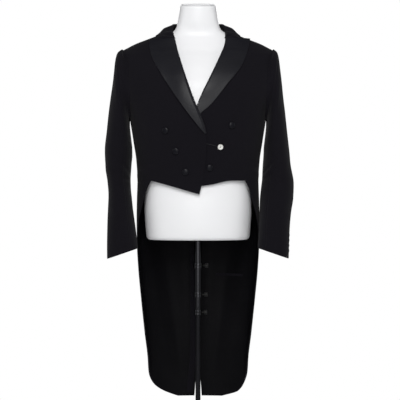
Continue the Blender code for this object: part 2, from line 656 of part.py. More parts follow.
def collar_section(along, side):
    """The collar's section from the neck seam over the fold to the outer edge."""
    row = COLLAR(along)
    roll_x = (RIGHT_FRONT if side < 0 else LEFT_FRONT)(GORGE).x
    front_turn = abs(turn_at(roll_x, GORGE)) + 0.5
    lean = 1 - smooth(along, 0.0, 0.35)
    fold_turn = row.fold_turn + (front_turn - COLLAR(0).fold_turn) * lean
    if fold_turn < 90:
        seam_height = neck_seam_height(fold_turn, front_turn)
    else:
        seam_height = mix(NECK_POINT, NAPE, (fold_turn - 90) / 90)
    seam = envelope(seam_height, side * fold_turn, 0.0008) + Vector((0, 0, 0.0018))
    angle = math.radians(side * fold_turn)
    outward = Vector((math.sin(angle), -math.cos(angle), 0))
    reach = row.fold_radius + 0.0013 * (front_turn - COLLAR(0).fold_turn) * lean
    fold = outward * reach + Vector((0, 0, max(row.fold_height, seam.z + 0.0004)))
    edge = envelope(row.edge_height, side * row.edge_turn, CLOTH + 0.0024)
    fall = edge - fold
    over = fold + outward * 0.0048 - Vector((0, 0, 0.0004))
    middle = over + fall * 0.5 + outward * 0.004 + Vector((0, 0, 0.003 + 0.002 * along))
    clear = CLOTH + 0.0036
    rest = [off_coat(point, clear) for point in (over, middle, mix(middle, edge, 0.55))]
    crown = fold + outward * 0.0024 + Vector((0, 0, 0.0014))
    return [seam, mix(seam, fold, 0.55), fold, crown, *rest, edge]


def make_collar(cloth):
    """One strip round the neck: the stand, the fold and the fall."""
    stations = [(-1, a) for a in COLLAR_STATIONS]
    stations += [(1, a) for a in (1, *reversed(COLLAR_STATIONS))]
    sections = [collar_section(along, side) for side, along in stations]
    grid = []
    for i, section in enumerate(sections):
        before, after = sections[max(i - 1, 0)], sections[min(i + 1, len(sections) - 1)]
        line = []
        for j, point in enumerate(section):
            along = after[j] - before[j]
            across = section[min(j + 1, len(section) - 1)] - section[max(j - 1, 0)]
            normal = along.cross(across).normalized()
            line.append([point + normal * 0.0009, point - normal * 0.0009])
        grid.append(line)
    wall("collar", grid, cloth)


def sleeve_point(rings, side, ring, angle):
    """A point of a sleeve's outer face; ring may lie between two rows."""
    turn = math.radians(angle)
    if ring <= 0:
        return armhole_rim(side, turn)
    low = min(int(ring), len(rings) - 1)
    if low == 0:
        return mix(armhole_rim(side, turn), sleeve_point(rings, side, 1, angle), ring)
    lower, upper = rings[low - 1], rings[min(low, len(rings) - 1)]
    row = SleeveRing(*[mix(a, b, ring - low) for a, b in zip(lower, upper)])
    inner = Vector((row.inner_x, row.middle, row.inner_z))
    outer = Vector((row.outer_x, row.middle, row.outer_z))
    across, ahead = math.cos(turn), math.sin(turn)
    power = SLEEVE_ROUNDNESS
    reach = (abs(across) ** power + abs(ahead) ** power) ** (-1 / power)
    point = (inner + outer) / 2 + (outer - inner) / 2 * across * reach
    point.y -= row.half_depth * ahead * reach
    point.x *= side
    return point


def armhole_rim(side, turn):
    """The sleeve's end at the armhole: the panels' outer edge and a seam's gap."""
    radius = armhole_radius(turn, ARMHOLE_CENTRE)
    y = ARMHOLE_CENTRE[0] - radius * math.sin(turn)
    z = ARMHOLE_CENTRE[1] + radius * math.cos(turn)
    section = ENVELOPE(z)
    angle = math.degrees(math.atan2(ARMHOLE(z).side, section.middle - y))
    edge = envelope(z, angle, CLOTH)
    return Vector((side * (edge.x + 4 * SEAM_GAP), edge.y, edge.z))


def sleeve_normal(rings, side, ring, angle):
    last = len(rings)
    low, high = max(ring - 0.3, 0), min(ring + 0.3, last)
    along = sleeve_point(rings, side, high, angle) - sleeve_point(rings, side, low, angle)
    around = sleeve_point(rings, side, ring, angle + 3) - sleeve_point(rings, side, ring, angle - 3)
    return (around.cross(along) * side).normalized()


def make_sleeves(cloth):
    for side, rings, label in ((-1, SLEEVE_RIGHT, "right"), (1, SLEEVE_LEFT, "left")):
        gap = 0.12
        for piece, columns in (("top", 9), ("under", 7)):
            grid = []
            for ring in range(len(rings) + 1):
                seam = -rings[max(ring - 1, 0)].seam
                ends = (seam + gap, FOREARM_SEAM - gap)
                if piece == "under":
                    ends = (FOREARM_SEAM + gap, 360 + seam - gap)
                line = []
                for angle in spread(*ends, columns):
                    point = sleeve_point(rings, side, ring, angle)
                    normal = sleeve_normal(rings, side, ring, angle)
                    line.append([point - normal * CLOTH, point])
                grid.append(line)
            wall(f"{piece}_sleeve_{label}", grid, cloth)


BUTTON_DOME = ((0.0, 0.0), (0.45, 0.0), (0.45, 0.12), (0.90, 0.14), (1.0, 0.26), (0.95, 0.40),
               (0.62, 0.52), (0.0, 0.58))


def make_button(name, radius, place, normal, material, seat=0.0, profile=BUTTON_DOME):
    """A button on the cloth; seat brings its base to the cloth's facets."""
    item = turned(name, [(r * radius, h * radius) for r, h in profile], 12, material)
    stand_up(item, place + normal * (SEAM_GAP + seat), normal)
    return item


def on_forepart(x, height, raised):
    """A place on a forepart's outer face, and the direction away from it."""
    turn = turn_at(x, height)
    base = envelope(height, turn, CLOTH + raised)
    return base, (envelope(height, turn, CLOTH + raised + 0.01) - base).normalized()


FrontButton = namedtuple("FrontButton", "name x height seat")
FRONT_BUTTONS = [FrontButton(*row) for row in (
    ("front_button_right_upper", -0.0936, 1.2016, 0.0002),
    ("front_button_right_middle", -0.0634, 1.1425, -0.0004),
    ("front_button_right_lower", -0.0359, 1.0820, 0.0009),
    ("front_button_left_upper", 0.0979, 1.2167, -0.0004),
    ("front_button_left_lower", 0.0340, 1.0939, 0.0))]
LINK_PLACE = (0.0646, 1.1541)
LINK_PROFILE = ((0.0, 0.0), (0.36, 0.0), (0.36, 0.26), (0.88, 0.27), (1.0, 0.36), (0.97, 0.48),
                (0.74, 0.53), (0.0, 0.47))


def make_front_buttons(satin, white, cord):
    for name, x, height, seat in FRONT_BUTTONS:
        place, normal = on_forepart(x, height, right_lift(height, x) if x < 0 else 0.0)
        make_button(name, FRONT_BUTTON, place, normal, satin, seat)
    place, normal = on_forepart(*LINK_PLACE, 0.0)
    make_button("link_button", LINK_BUTTON, place, normal, white, profile=LINK_PROFILE)
    cord_radius = 0.0009
    route = []
    for t in spread(0, 1, 9):
        x = mix(0.010, LINK_PLACE[0] - 0.36 * LINK_BUTTON - cord_radius - SEAM_GAP, t)
        height = mix(1.1655, LINK_PLACE[1], t) + 0.0012 * math.sin(math.pi * t)
        route.append(on_forepart(x, height, cord_radius + SEAM_GAP)[0])
    make_cord("link_cord", route, cord_radius, cord)


def make_cord(name, route, radius, material):
    curve = bpy.data.curves.new(name, "CURVE")
    curve.dimensions = "3D"
    curve.bevel_depth = radius
    curve.bevel_resolution = 2
    curve.use_fill_caps = True
    line = curve.splines.new("POLY")
    line.points.add(len(route) - 1)
    for point, place in zip(line.points, route):
        point.co = (*place, 1)
    curve.materials.append(material)
    item = bpy.data.objects.new(name, curve)
    bpy.context.collection.objects.link(item)


def make_cuff_buttons(satin):
    for side, rings, label in ((-1, SLEEVE_RIGHT, "right"), (1, SLEEVE_LEFT, "left")):
        for number in range(4):
            ring = len(rings) - 0.45 - number * 0.335
            seam = rings[-1].seam
            angle = -seam + 9
            place = sleeve_point(rings, side, ring, angle)
            normal = sleeve_normal(rings, side, ring, angle)
            make_button(f"cuff_button_{label}_{number + 1}", CUFF_BUTTON, place, normal, satin,
                        -0.0004 if side < 0 else 0.0)


def make_waist_buttons(satin):
    for side, label in ((-1, "right"), (1, "left")):
        turn = side * (turn_at(BACK_SEAM(1.052).x - 0.011, 1.052, back=True))
        base = envelope(1.052, turn, CLOTH)
        normal = (envelope(1.052, turn, CLOTH + 0.01) - base).normalized()
        make_button(f"waist_button_{label}", FRONT_BUTTON, base, normal, satin, 0.0014)


# ---- the dress form and its stand ---------------------------------------------------------------
def form_point(height, turn, inset=0.0):
    section = FORM(height)
    angle = math.radians(turn)
    depth = section.front if math.cos(angle) > 0 else section.back
    polar = math.atan2(math.sin(angle) * section.half_width, math.cos(angle) * depth)
    point = section_point(section, height, math.degrees(polar))
    shrink = 1 - inset / section.half_width
    flat = Vector((point.x * shrink, section.middle + (point.y - section.middle) * shrink, height))
    flat.z += NECK_TILT * (flat.y - section.middle) * smooth(height, 1.535, 1.582)
    return flat


def make_form(white):
    """The torso: one smooth solid with a flat bottom and a bore for the mast."""
    sides = 32
    rounding = [(FORM_BOTTOM + FORM_EDGE * (1 - math.cos(a)), FORM_EDGE * (1 - math.sin(a)))
                for a in (0, math.radians(30), math.radians(60))]
    levels = rounding + [(z, 0.0) for z in (
        0.905, 0.940, 0.980, 1.030, 1.080, 1.130, 1.180, 1.230, 1.280, 1.325, 1.365, 1.400, 1.425,
        1.443, 1.455, 1.465, 1.4735, 1.483, 1.492, 1.499, 1.506, 1.516, 1.530, 1.550, 1.567)]
    levels += [(1.5755, 0.0), (1.582, 0.003)]
    work = bmesh.new()
    rings = [[work.verts.new(form_point(z, 360 * k / sides, inset)) for k in range(sides)]
             for z, inset in levels]
    bore = [[work.verts.new((SLEEVE_BORE * math.sin(2 * math.pi * k / sides),
                             -SLEEVE_BORE * math.cos(2 * math.pi * k / sides), z))
             for k in range(sides)] for z in (FORM_BOTTOM, BORE_TOP)]
    for low, high in list(zip(rings, rings[1:])) + [(bore[0], rings[0]), tuple(bore)]:
        for k in range(sides):
            n = (k + 1) % sides
            work.faces.new((low[k], low[n], high[n], high[k]))
    work.faces.new(rings[-1])
    work.faces.new(bore[1])
    bmesh.ops.recalc_face_normals(work, faces=work.faces)
    new_object("form_torso", work, white)


def make_neck_cap(white):
    """A thin plate on the neck's slanting top."""
    sides = 32
    grid_levels = ((0.0004, 0.0042), (0.0022, 0.0030), (0.0036, 0.0036), (0.0042, 0.0055))
    work = bmesh.new()
    up = Vector((0, -NECK_TILT, 1)).normalized()
    rings = [[work.verts.new(form_point(1.582, 360 * k / sides, inset) + up * rise)
              for k in range(sides)] for rise, inset in grid_levels]
    for low, high in zip(rings, rings[1:]):
        for k in range(sides):
            n = (k + 1) % sides
            work.faces.new((low[k], low[n], high[n], high[k]))
    work.faces.new(rings[0])
    work.faces.new(rings[-1])
    bmesh.ops.recalc_face_normals(work, faces=work.faces)
    new_object("neck_cap", work, white)


CLAMP_HEIGHT = 0.015
KNOB_PROFILE = ((0.0, 0.0), (0.0022, 0.0), (0.0022, 0.006), (0.0062, 0.0065), (0.0068, 0.0080),
                (0.0068, 0.0150), (0.0055, 0.0165), (0.0, 0.0165))


def make_clamp(name, tube_radius, bottom, chrome, black):
    """A collar round a tube's lower end and the thumb screw in its side."""
    outer = tube_radius + 0.0025
    tube(f"{name}_collar", outer, tube_radius + 0.0003, bottom, bottom + CLAMP_HEIGHT, chrome)
    knob = turned(f"{name}_knob", KNOB_PROFILE, 14, black)
    stand_up(knob, Vector((outer + SEAM_GAP, 0, bottom + CLAMP_HEIGHT / 2)), Vector((1, 0, 0)))


def make_stand(chrome, dark, black):
    turned("base_plate", [(0.0, 0.0), (BASE_RADIUS, 0.0), (BASE_RADIUS, BASE_THICKNESS - 0.003),
                          (BASE_RADIUS - 0.003, BASE_THICKNESS), (0.0, BASE_THICKNESS)], 48, dark)
    floor = BASE_THICKNESS + SEAM_GAP
    tube("base_socket", 0.016, ROD_RADIUS + SEAM_GAP, floor, floor + 0.040, dark)
    turned("mast_rod", [(0.0, floor), (ROD_RADIUS, floor), (ROD_RADIUS, ROD_TOP - 0.001),
                        (ROD_RADIUS - 0.001, ROD_TOP), (0.0, ROD_TOP)], MAST_SIDES, dark)
    tube("mast_middle", MID_RADIUS, ROD_RADIUS + SLIDE_FIT, MID_BOTTOM, MID_TOP, chrome)
    tube("mast_upper", UPPER_RADIUS, MID_RADIUS + SLIDE_FIT, UPPER_BOTTOM, UPPER_TOP, chrome)
    tube("form_sleeve", SLEEVE_RADIUS, UPPER_RADIUS + SLIDE_FIT, SLEEVE_BOTTOM, SLEEVE_TOP, chrome)
    tube("form_flange", 0.030, SLEEVE_RADIUS + SEAM_GAP, FORM_BOTTOM - 0.0043,
         FORM_BOTTOM - SEAM_GAP, black)
    make_clamp("middle", MID_RADIUS, MID_BOTTOM, chrome, black)
    make_clamp("upper", UPPER_RADIUS, UPPER_BOTTOM, chrome, black)
    make_clamp("form", SLEEVE_RADIUS, SLEEVE_BOTTOM, chrome, black)


def main():
    for item in list(bpy.data.objects):
        bpy.data.objects.remove(item, do_unlink=True)
    cloth = paint("black_wool", (0.012, 0.012, 0.014), 0.85)
    satin = paint("black_satin", (0.016, 0.017, 0.020), 0.35)
    lining = paint("black_lining", (0.008, 0.008, 0.009), 0.55)
    white = paint("white_gloss", (0.82, 0.82, 0.83), 0.25)
    button_white = paint("white_button", (0.85, 0.84, 0.82), 0.35)
    chrome = paint("chrome", (0.80, 0.80, 0.82), 0.12, 1.0)
    dark = paint("grey_steel", (0.09, 0.09, 0.10), 0.40, 1.0)
    black = paint("black_plastic", (0.015, 0.015, 0.015), 0.45)
    make_foreparts(cloth)
    make_side_bodies(cloth)
    make_backs(cloth)
    make_skirts(cloth, lining)
    make_tail_trims(cloth)
    make_lapels(satin)
    make_collar(cloth)
    make_sleeves(cloth)
    make_front_buttons(satin, button_white, cloth)
    make_cuff_buttons(satin)
    make_waist_buttons(satin)
    make_form(white)
    make_neck_cap(white)
    make_stand(chrome, dark, black)


main()
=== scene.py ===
"""White tie tailcoat on a limbless dress form: the pieces that are seen.

Units are metres, +Z is up and the coat's front faces -Y. "Right" and "left" are the wearer's.
The coat's cloth follows one envelope, the cloth's inner face. A point of it is a height and a
turn, the angle round the body from the front (0) over the wearer's left side (90) to the back
(180). A panel is a grid between two edges, and each edge is a list of such points, hem first.
"""
import math
from collections import namedtuple
from functools import lru_cache

import bmesh
import bpy
from bpy.props import FloatProperty, FloatVectorProperty, IntProperty, PointerProperty
from mathutils import Matrix, Vector


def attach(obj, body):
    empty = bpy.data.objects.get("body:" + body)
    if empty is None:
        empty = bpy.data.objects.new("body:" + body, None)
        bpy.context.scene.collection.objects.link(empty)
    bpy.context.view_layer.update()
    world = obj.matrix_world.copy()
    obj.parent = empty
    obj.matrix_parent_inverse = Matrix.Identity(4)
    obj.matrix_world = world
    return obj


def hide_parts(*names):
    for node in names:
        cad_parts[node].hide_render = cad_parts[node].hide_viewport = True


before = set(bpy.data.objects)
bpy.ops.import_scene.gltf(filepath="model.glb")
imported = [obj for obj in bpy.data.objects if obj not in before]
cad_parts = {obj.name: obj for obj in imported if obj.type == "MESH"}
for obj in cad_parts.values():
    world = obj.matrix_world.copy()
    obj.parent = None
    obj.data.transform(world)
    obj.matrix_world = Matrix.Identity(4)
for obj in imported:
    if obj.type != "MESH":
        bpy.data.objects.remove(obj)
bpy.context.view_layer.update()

bl_info = {
    "name": "White Tie Tailcoat",
    "version": (1, 0, 0),
    "blender": (4, 5, 0),
    "location": "View3D > Sidebar > Tailcoat",
    "description": "Cuts and sews a white tie tailcoat on its dress form",
    "category": "Add Mesh",
}

# ---- driving dimensions -------------------------------------------------------------------
CLOTH = 0.0020             # thickness of the coat's cloth
SATIN = 0.0010             # thickness of the tails' lining and its trims
SEAM_GAP = 0.0003          # space between neighbouring pieces
LINING_OUT = -0.0009       # the linings' outer face, inside the cloth's inner face
HEM_HEIGHT = 0.3925        # the tails' hem above the floor
WAIST_HEIGHT = 1.056       # the waist seam at the side
UNDERARM = 1.240           # the lowest point of the armholes
ARMHOLE_TOP = 1.4515       # where the shoulder seams meet the sleeves
NECK_POINT = 1.5025        # the shoulder seams' upper end
NAPE = 1.4950              # the neck seam at the centre back
GORGE = 1.4785             # the neck seam at the roll lines
HEM_ARCH = 0.005           # rise of the left forepart's hem over its middle
ARCH_TURN, ARCH_WIDTH = 42, 14    # where that rise is, and how wide, in degrees
HEM_BEND = 1.15            # how much the foreparts' hems sag on their way to the side
BREAK_POINT = 1.190        # where the lapels start to turn
LEFT_BREAK = 1.278         # where the left one starts to stand off its forepart

FRONT_BUTTON = 0.0095      # radii
CUFF_BUTTON = 0.0064
LINK_BUTTON = 0.0080
FORM_BOTTOM = 0.8815
FORM_EDGE = 0.012          # rounding of the form's lower edge
NECK_TILT = 0.19           # fall of the neck's top toward the front, rise over run
NECK_TOP = 1.582           # the neck's top, before the tilt

BASE_RADIUS = 0.190
BASE_THICKNESS = 0.008
ROD_RADIUS = 0.0075
MID_RADIUS = 0.0085
UPPER_RADIUS = 0.0102
SLEEVE_RADIUS = 0.0118     # the tube in the form's underside
SLIDE_FIT = 0.0006         # radial clearance between telescoping tubes
ROD_TOP = 0.860
MID_BOTTOM, MID_TOP = 0.656, 0.900
UPPER_BOTTOM, UPPER_TOP = 0.709, 0.950
SLEEVE_BOTTOM, SLEEVE_TOP = 0.796, 0.980
BORE_TOP = 1.140


class Table:
    """Rows of named columns, read by their first column, smooth and without overshoot."""

    def __init__(self, names, *rows):
        self.row = namedtuple("Row", names)
        self.keys = [row[0] for row in rows]
        self.columns = list(zip(*rows))
        self.slopes = [self._slopes(column) for column in self.columns]

    def _slopes(self, values):
        keys = self.keys
        steep = [(b - a) / (q - p) for a, b, p, q in zip(values, values[1:], keys, keys[1:])]
        inner = [0.0 if p * q <= 0 else 2 * p * q / (p + q) for p, q in zip(steep, steep[1:])]
        return [steep[0]] + inner + [steep[-1]]

    @lru_cache(200000)
    def __call__(self, key):
        key = min(max(key, self.keys[0]), self.keys[-1])
        low = max(i for i, k in enumerate(self.keys[:-1]) if k <= key)
        span = self.keys[low + 1] - self.keys[low]
        t = (key - self.keys[low]) / span
        weights = ((1 + 2 * t) * (1 - t) ** 2, t * (1 - t) ** 2 * span,
                   t * t * (3 - 2 * t), t * t * (t - 1) * span)
        return self.row(*[
            weights[0] * column[low] + weights[1] * slope[low]
            + weights[2] * column[low + 1] + weights[3] * slope[low + 1]
            for column, slope in zip(self.columns, self.slopes)])


# Sections of the envelope, the inner face of the cloth. front and back are depths from middle.
ENVELOPE = Table(
    "height half_width front back middle roundness",
    (0.385, 0.152, 0.008, 0.054, 0.072, 2.2),
    (0.500, 0.152, 0.010, 0.062, 0.062, 2.2),
    (0.600, 0.161, 0.020, 0.075, 0.048, 2.2),
    (0.700, 0.170, 0.040, 0.092, 0.032, 2.2),
    (0.800, 0.178, 0.080, 0.108, 0.014, 2.2),
    (0.880, 0.1815, 0.108, 0.118, 0.002, 2.2),
    (0.950, 0.1820, 0.112, 0.111, 0.000, 2.2),
    (1.000, 0.1812, 0.110, 0.103, 0.000, 2.2),
    (1.060, 0.1795, 0.109, 0.096, 0.000, 2.25),
    (1.120, 0.1830, 0.115, 0.098, 0.000, 2.3),
    (1.170, 0.1905, 0.123, 0.105, 0.000, 2.35),
    (1.220, 0.1985, 0.129, 0.112, 0.000, 2.35),
    (1.260, 0.2055, 0.130, 0.116, 0.000, 2.3),
    (1.300, 0.2240, 0.128, 0.118, 0.000, 2.25),
    (1.350, 0.2400, 0.119, 0.117, 0.002, 2.2),
    (1.400, 0.2450, 0.099, 0.109, 0.004, 2.1),
    (1.430, 0.2430, 0.083, 0.098, 0.005, 2.05),
    (1.442, 0.2320, 0.075, 0.092, 0.005, 2.0),
    (1.454, 0.2105, 0.068, 0.086, 0.005, 2.0),
    (1.466, 0.1870, 0.062, 0.078, 0.005, 2.0),
    (1.4775, 0.1570, 0.056, 0.068, 0.004, 2.0),
    (1.4900, 0.1230, 0.051, 0.061, 0.002, 2.0),
    (1.4980, 0.1000, 0.048, 0.057, 0.001, 2.0),
    (1.5040, 0.0820, 0.046, 0.055, 0.000, 2.0),
)

# The dress form's own sections, inside the coat and clear of it.
FORM = Table(
    "height half_width front back middle roundness",
    (0.8815, 0.1540, 0.102, 0.098, 0.000, 2.2),
    (0.9250, 0.1580, 0.105, 0.100, 0.000, 2.2),
    (0.9700, 0.1605, 0.104, 0.095, 0.000, 2.2),
    (1.0300, 0.1600, 0.101, 0.089, 0.000, 2.2),
    (1.1000, 0.1660, 0.106, 0.090, 0.000, 2.3),
    (1.1700, 0.1740, 0.116, 0.098, 0.000, 2.35),
    (1.2500, 0.1830, 0.125, 0.110, 0.000, 2.35),
    (1.3200, 0.1880, 0.121, 0.113, 0.000, 2.3),
    (1.3800, 0.1890, 0.104, 0.108, 0.003, 2.2),
    (1.4200, 0.1870, 0.085, 0.096, 0.005, 2.1),
    (1.4400, 0.1845, 0.072, 0.088, 0.005, 2.0),
    (1.4530, 0.1790, 0.066, 0.084, 0.005, 2.0),
    (1.4650, 0.1690, 0.0600, 0.0755, 0.005, 2.0),
    (1.4735, 0.1590, 0.0550, 0.0675, 0.004, 2.0),
    (1.4830, 0.1380, 0.0490, 0.0620, 0.003, 2.0),
    (1.4920, 0.1110, 0.0450, 0.0560, 0.002, 2.0),
    (1.4990, 0.0880, 0.0430, 0.0520, 0.000, 2.0),
    (1.5060, 0.0730, 0.0432, 0.0505, -0.001, 2.0),
    (1.5160, 0.0660, 0.0450, 0.0510, -0.002, 2.0),
    (1.5300, 0.0615, 0.0470, 0.0520, -0.004, 2.0),
    (1.5500, 0.0575, 0.0480, 0.0520, -0.006, 2.0),
    (1.5700, 0.0545, 0.0480, 0.0510, -0.008, 2.0),
    (1.5820, 0.0530, 0.0480, 0.0505, -0.009, 2.0),
)

# The plane of the armhole, as a distance from the centre, at each height.
ARMHOLE = Table("height side", (1.230, 0.1985), (1.260, 0.1985), (1.300, 0.1985),
                (1.380, 0.2030), (1.452, 0.2150), (1.460, 0.2150))

# Sleeves, ring by ring: where the ring is nearest to the body and farthest from it, the middle of
# its depth, and half that depth. The depths give girths of 385 mm at the biceps, 345 mm at the
# elbow and 290 mm at the cuff. seam is the hindarm seam's angle behind the outer point.
SLEEVE_COLUMNS = "inner_x inner_z outer_x outer_z middle half_depth seam"
SleeveRing = namedtuple("SleeveRing", SLEEVE_COLUMNS)
SLEEVE_RIGHT = [SleeveRing(*row) for row in (
    (0.2046, 1.2330, 0.2270, 1.4520, 0.000, 0.0700, 74),
    (0.2046, 1.2240, 0.2400, 1.4420, 0.000, 0.0720, 74),
    (0.2040, 1.2130, 0.2465, 1.4240, 0.000, 0.0735, 74),
    (0.2025, 1.1980, 0.2500, 1.3960, 0.000, 0.0755, 74),
    (0.2000, 1.1780, 0.2545, 1.3550, 0.000, 0.0775, 74),
    (0.1975, 1.1560, 0.2610, 1.3100, 0.000, 0.0780, 74),
    (0.1970, 1.1330, 0.2675, 1.2600, -0.001, 0.0780, 73),
    (0.1990, 1.1100, 0.2730, 1.2060, -0.003, 0.0770, 72),
    (0.2005, 1.0870, 0.2785, 1.1500, -0.006, 0.0750, 71),
    (0.2018, 1.0620, 0.2770, 1.1000, -0.009, 0.0730, 70),
    (0.2008, 1.0360, 0.2700, 1.0550, -0.013, 0.0710, 69),
    (0.1975, 1.0060, 0.2666, 1.0120, -0.019, 0.0680, 68),
    (0.1935, 0.9730, 0.2680, 0.9680, -0.027, 0.0630, 67),
    (0.1880, 0.9370, 0.2690, 0.9210, -0.036, 0.0570, 66),
    (0.1825, 0.8990, 0.2692, 0.8740, -0.045, 0.0510, 64),
    (0.1775, 0.8575, 0.2684, 0.8270, -0.054, 0.0455, 62),
)]
SLEEVE_LEFT = [SleeveRing(*row) for row in (
    (0.2046, 1.2330, 0.2260, 1.4520, 0.000, 0.0700, 74),
    (0.2046, 1.2240, 0.2370, 1.4420, 0.000, 0.0720, 74),
    (0.2040, 1.2130, 0.2420, 1.4240, 0.000, 0.0735, 74),
    (0.2025, 1.1980, 0.2455, 1.3960, 0.000, 0.0755, 73),
    (0.2000, 1.1780, 0.2505, 1.3550, 0.000, 0.0775, 72),
    (0.1975, 1.1560, 0.2550, 1.3100, 0.000, 0.0780, 70),
    (0.1965, 1.1330, 0.2610, 1.2600, -0.001, 0.0780, 67),
    (0.1945, 1.1100, 0.2665, 1.2060, -0.004, 0.0770, 63),
    (0.1930, 1.0870, 0.2725, 1.1500, -0.009, 0.0750, 59),
    (0.1915, 1.0620, 0.2775, 1.1000, -0.015, 0.0730, 54),
    (0.1880, 1.0360, 0.2850, 1.0500, -0.023, 0.0710, 49),
    (0.1845, 1.0060, 0.2830, 1.0060, -0.031, 0.0660, 44),
    (0.1825, 0.9720, 0.2760, 0.9630, -0.039, 0.0610, 40),
    (0.1810, 0.9360, 0.2715, 0.9190, -0.047, 0.0555, 36),
    (0.1790, 0.8990, 0.2692, 0.8740, -0.054, 0.0505, 33),
    (0.1760, 0.8590, 0.2675, 0.8280, -0.060, 0.0460, 30),
)]
FOREARM_SEAM = 125         # the front sleeve seam's angle in front of the outer point
SLEEVE_ROUNDNESS = 2.15

# The collar, from its front end (0) to the centre back (1): the fold's turn, radius and height,
# and the outer edge's turn and height on the envelope.
COLLAR = Table(
    "along fold_turn fold_radius fold_height edge_turn edge_height",
    (0.00, 54.5, 0.0852, 1.4802, 76.0, 1.4805),
    (0.08, 63, 0.0815, 1.4900, 80.0, 1.4850),
    (0.18, 76, 0.0775, 1.5080, 85.0, 1.4900),
    (0.30, 90, 0.0735, 1.5240, 92.0, 1.4935),
    (0.55, 122, 0.0710, 1.5310, 126, 1.4890),
    (0.80, 156, 0.0690, 1.5330, 158, 1.4850),
    (1.00, 180, 0.0680, 1.5330, 180, 1.4840),
)

# How far the wearer's right forepart is carried off the body where it laps over the left one.
OVERLAP_LIFT = Table("height lift", (1.010, 0.0028), (1.090, 0.0028), (1.140, 0.0060),
                     (1.300, 0.0060), (1.425, 0.0))


SIDES = ((-1, "right"), (1, "left"))


# ---- the envelope -------------------------------------------------------------------------
def section_point(section, height, turn):
    """The point of a horizontal section at a turn in degrees."""
    angle = math.radians(turn)
    across, ahead = math.sin(angle), math.cos(angle)
    depth = section.front if ahead > 0 else section.back
    power = section.roundness
    reach = abs(across / section.half_width) ** power + abs(ahead / depth) ** power
    reach **= -1 / power
    return Vector((reach * across, section.middle - reach * ahead, height))


def envelope(height, turn, out=0.0):
    """A point of the envelope, moved out along its normal."""
    def at(h, t):
        return section_point(ENVELOPE(h), h, t)

    point = at(height, turn)
    if not out:
        return point
    rise, swing = 0.0005, 0.05
    upward = at(height + rise, turn) - at(height - rise, turn)
    around = at(height, turn + swing) - at(height, turn - swing)
    return point + around.cross(upward).normalized() * out


def turn_at(x, height, back=False):
    """The turn where the envelope's section passes x, on the front or on the back."""
    section = ENVELOPE(height)
    ratio = min(abs(x) / section.half_width, 1.0)
    power = section.roundness
    depth = (section.back if back else section.front) * (1 - ratio ** power) ** (1 / power)
    turn = math.degrees(math.atan2(abs(x), depth))
    if back:
        turn = 180 - turn
    return math.copysign(turn, x)


def around(height, turn):
    """A turn as the section's own angle, which spaces points evenly on a flat section."""
    section = ENVELOPE(height)
    angle = math.radians(turn)
    depth = section.front if math.cos(angle) > 0 else section.back
    return math.atan2(math.sin(angle) / section.half_width, math.cos(angle) / depth)


def turn_around(height, angle):
    """The turn for a section's own angle."""
    section = ENVELOPE(height)
    depth = section.front if math.cos(angle) > 0 else section.back
    return math.degrees(math.atan2(math.sin(angle) * section.half_width, math.cos(angle) * depth))


def smooth(value, low, high):
    t = min(max((value - low) / (high - low), 0.0), 1.0)
    return t * t * (3 - 2 * t)


def mix(a, b, t):
    return a + (b - a) * t


def spread(low, high, count):
    return [mix(low, high, i / count) for i in range(count + 1)]


def armhole_turn(height, back=False):
    """The turn of the armhole's edge at a height, for the wearer's left."""
    return turn_at(ARMHOLE(height).side, height, back)


def armhole_radius(angle, centre):
    """How far the armhole's edge is from a centre (y, z), at an angle from the top to the front."""
    low, high = 0.0, 0.2
    for _ in range(40):
        radius = (low + high) / 2
        y = centre[0] - radius * math.sin(angle)
        z = centre[1] + radius * math.cos(angle)
        section = ENVELOPE(z)
        depth = section.front if y < section.middle else section.back
        inside = 1 - (abs(y - section.middle) / depth) ** section.roundness
        width = section.half_width * max(inside, 0.0) ** (1 / section.roundness)
        inside_armhole = width > ARMHOLE(z).side and z > UNDERARM
        low, high = (radius, high) if inside_armhole else (low, radius)
    return low


# ---- seams and edges, as (height, turn) from the hem up, for the wearer's left ------------------
BODY_ROWS = spread(0, 1, 6)
ARM_HEIGHTS = [1.262, 1.285, 1.310, 1.335, 1.360, 1.385, 1.410, 1.428, 1.440, ARMHOLE_TOP]
SHOULDER_HEIGHTS = [1.464, 1.479, 1.492, NECK_POINT]
SIDE_TURN = 78             # the side seam under the arm
WAIST_TURN = 74            # the side seam at the waist
SIDE_TOP = 1.246           # the side seam's top
SHOULDER_FRONT, SHOULDER_BACK = 89.85, 90.15    # the shoulder seam's two edges


def side_seam():
    return [(mix(WAIST_HEIGHT, SIDE_TOP, t), mix(WAIST_TURN, SIDE_TURN, t)) for t in BODY_ROWS]


def forepart_back_edge():
    arm = [(z, armhole_turn(z)) for z in ARM_HEIGHTS]
    return side_seam() + arm + [(z, SHOULDER_FRONT) for z in SHOULDER_HEIGHTS]


# The wearer's right front edge, roll line and neck seam: height and x toward the wearer's left.
RIGHT_FRONT = Table("height x", (1.0165, 0.0035), (1.042, 0.0100), (1.090, 0.0190), (1.150, 0.0234),
                    (BREAK_POINT, 0.0240), (1.250, 0.0070), (1.2755, -0.0043), (1.348, -0.0313),
                    (1.409, -0.0508), (1.4395, -0.0595), (GORGE, -0.0680))
LEFT_FRONT = Table("height x", (1.0370, -0.020), (1.090, -0.0240), (BREAK_POINT, -0.0243),
                   (1.2755, -0.0020), (1.294, 0.0048), (1.319, 0.0160), (1.348, 0.0305),
                   (1.409, 0.0585), (1.4395, 0.0712), (1.458, 0.0772), (GORGE, 0.0806))
LAPEL_GAP = 0.0007         # between a lapel and its forepart


def front_edge(table, side):
    """The forepart's front edge with a row for each row of its back edge."""
    lower = spread(table.keys[0], SIDE_TOP, len(BODY_ROWS) - 1)
    upper = spread(ARMHOLE_TOP, GORGE, len(SHOULDER_HEIGHTS))[1:]
    return [(z, side * turn_at(table(z).x, z)) for z in lower + ARM_HEIGHTS + upper]


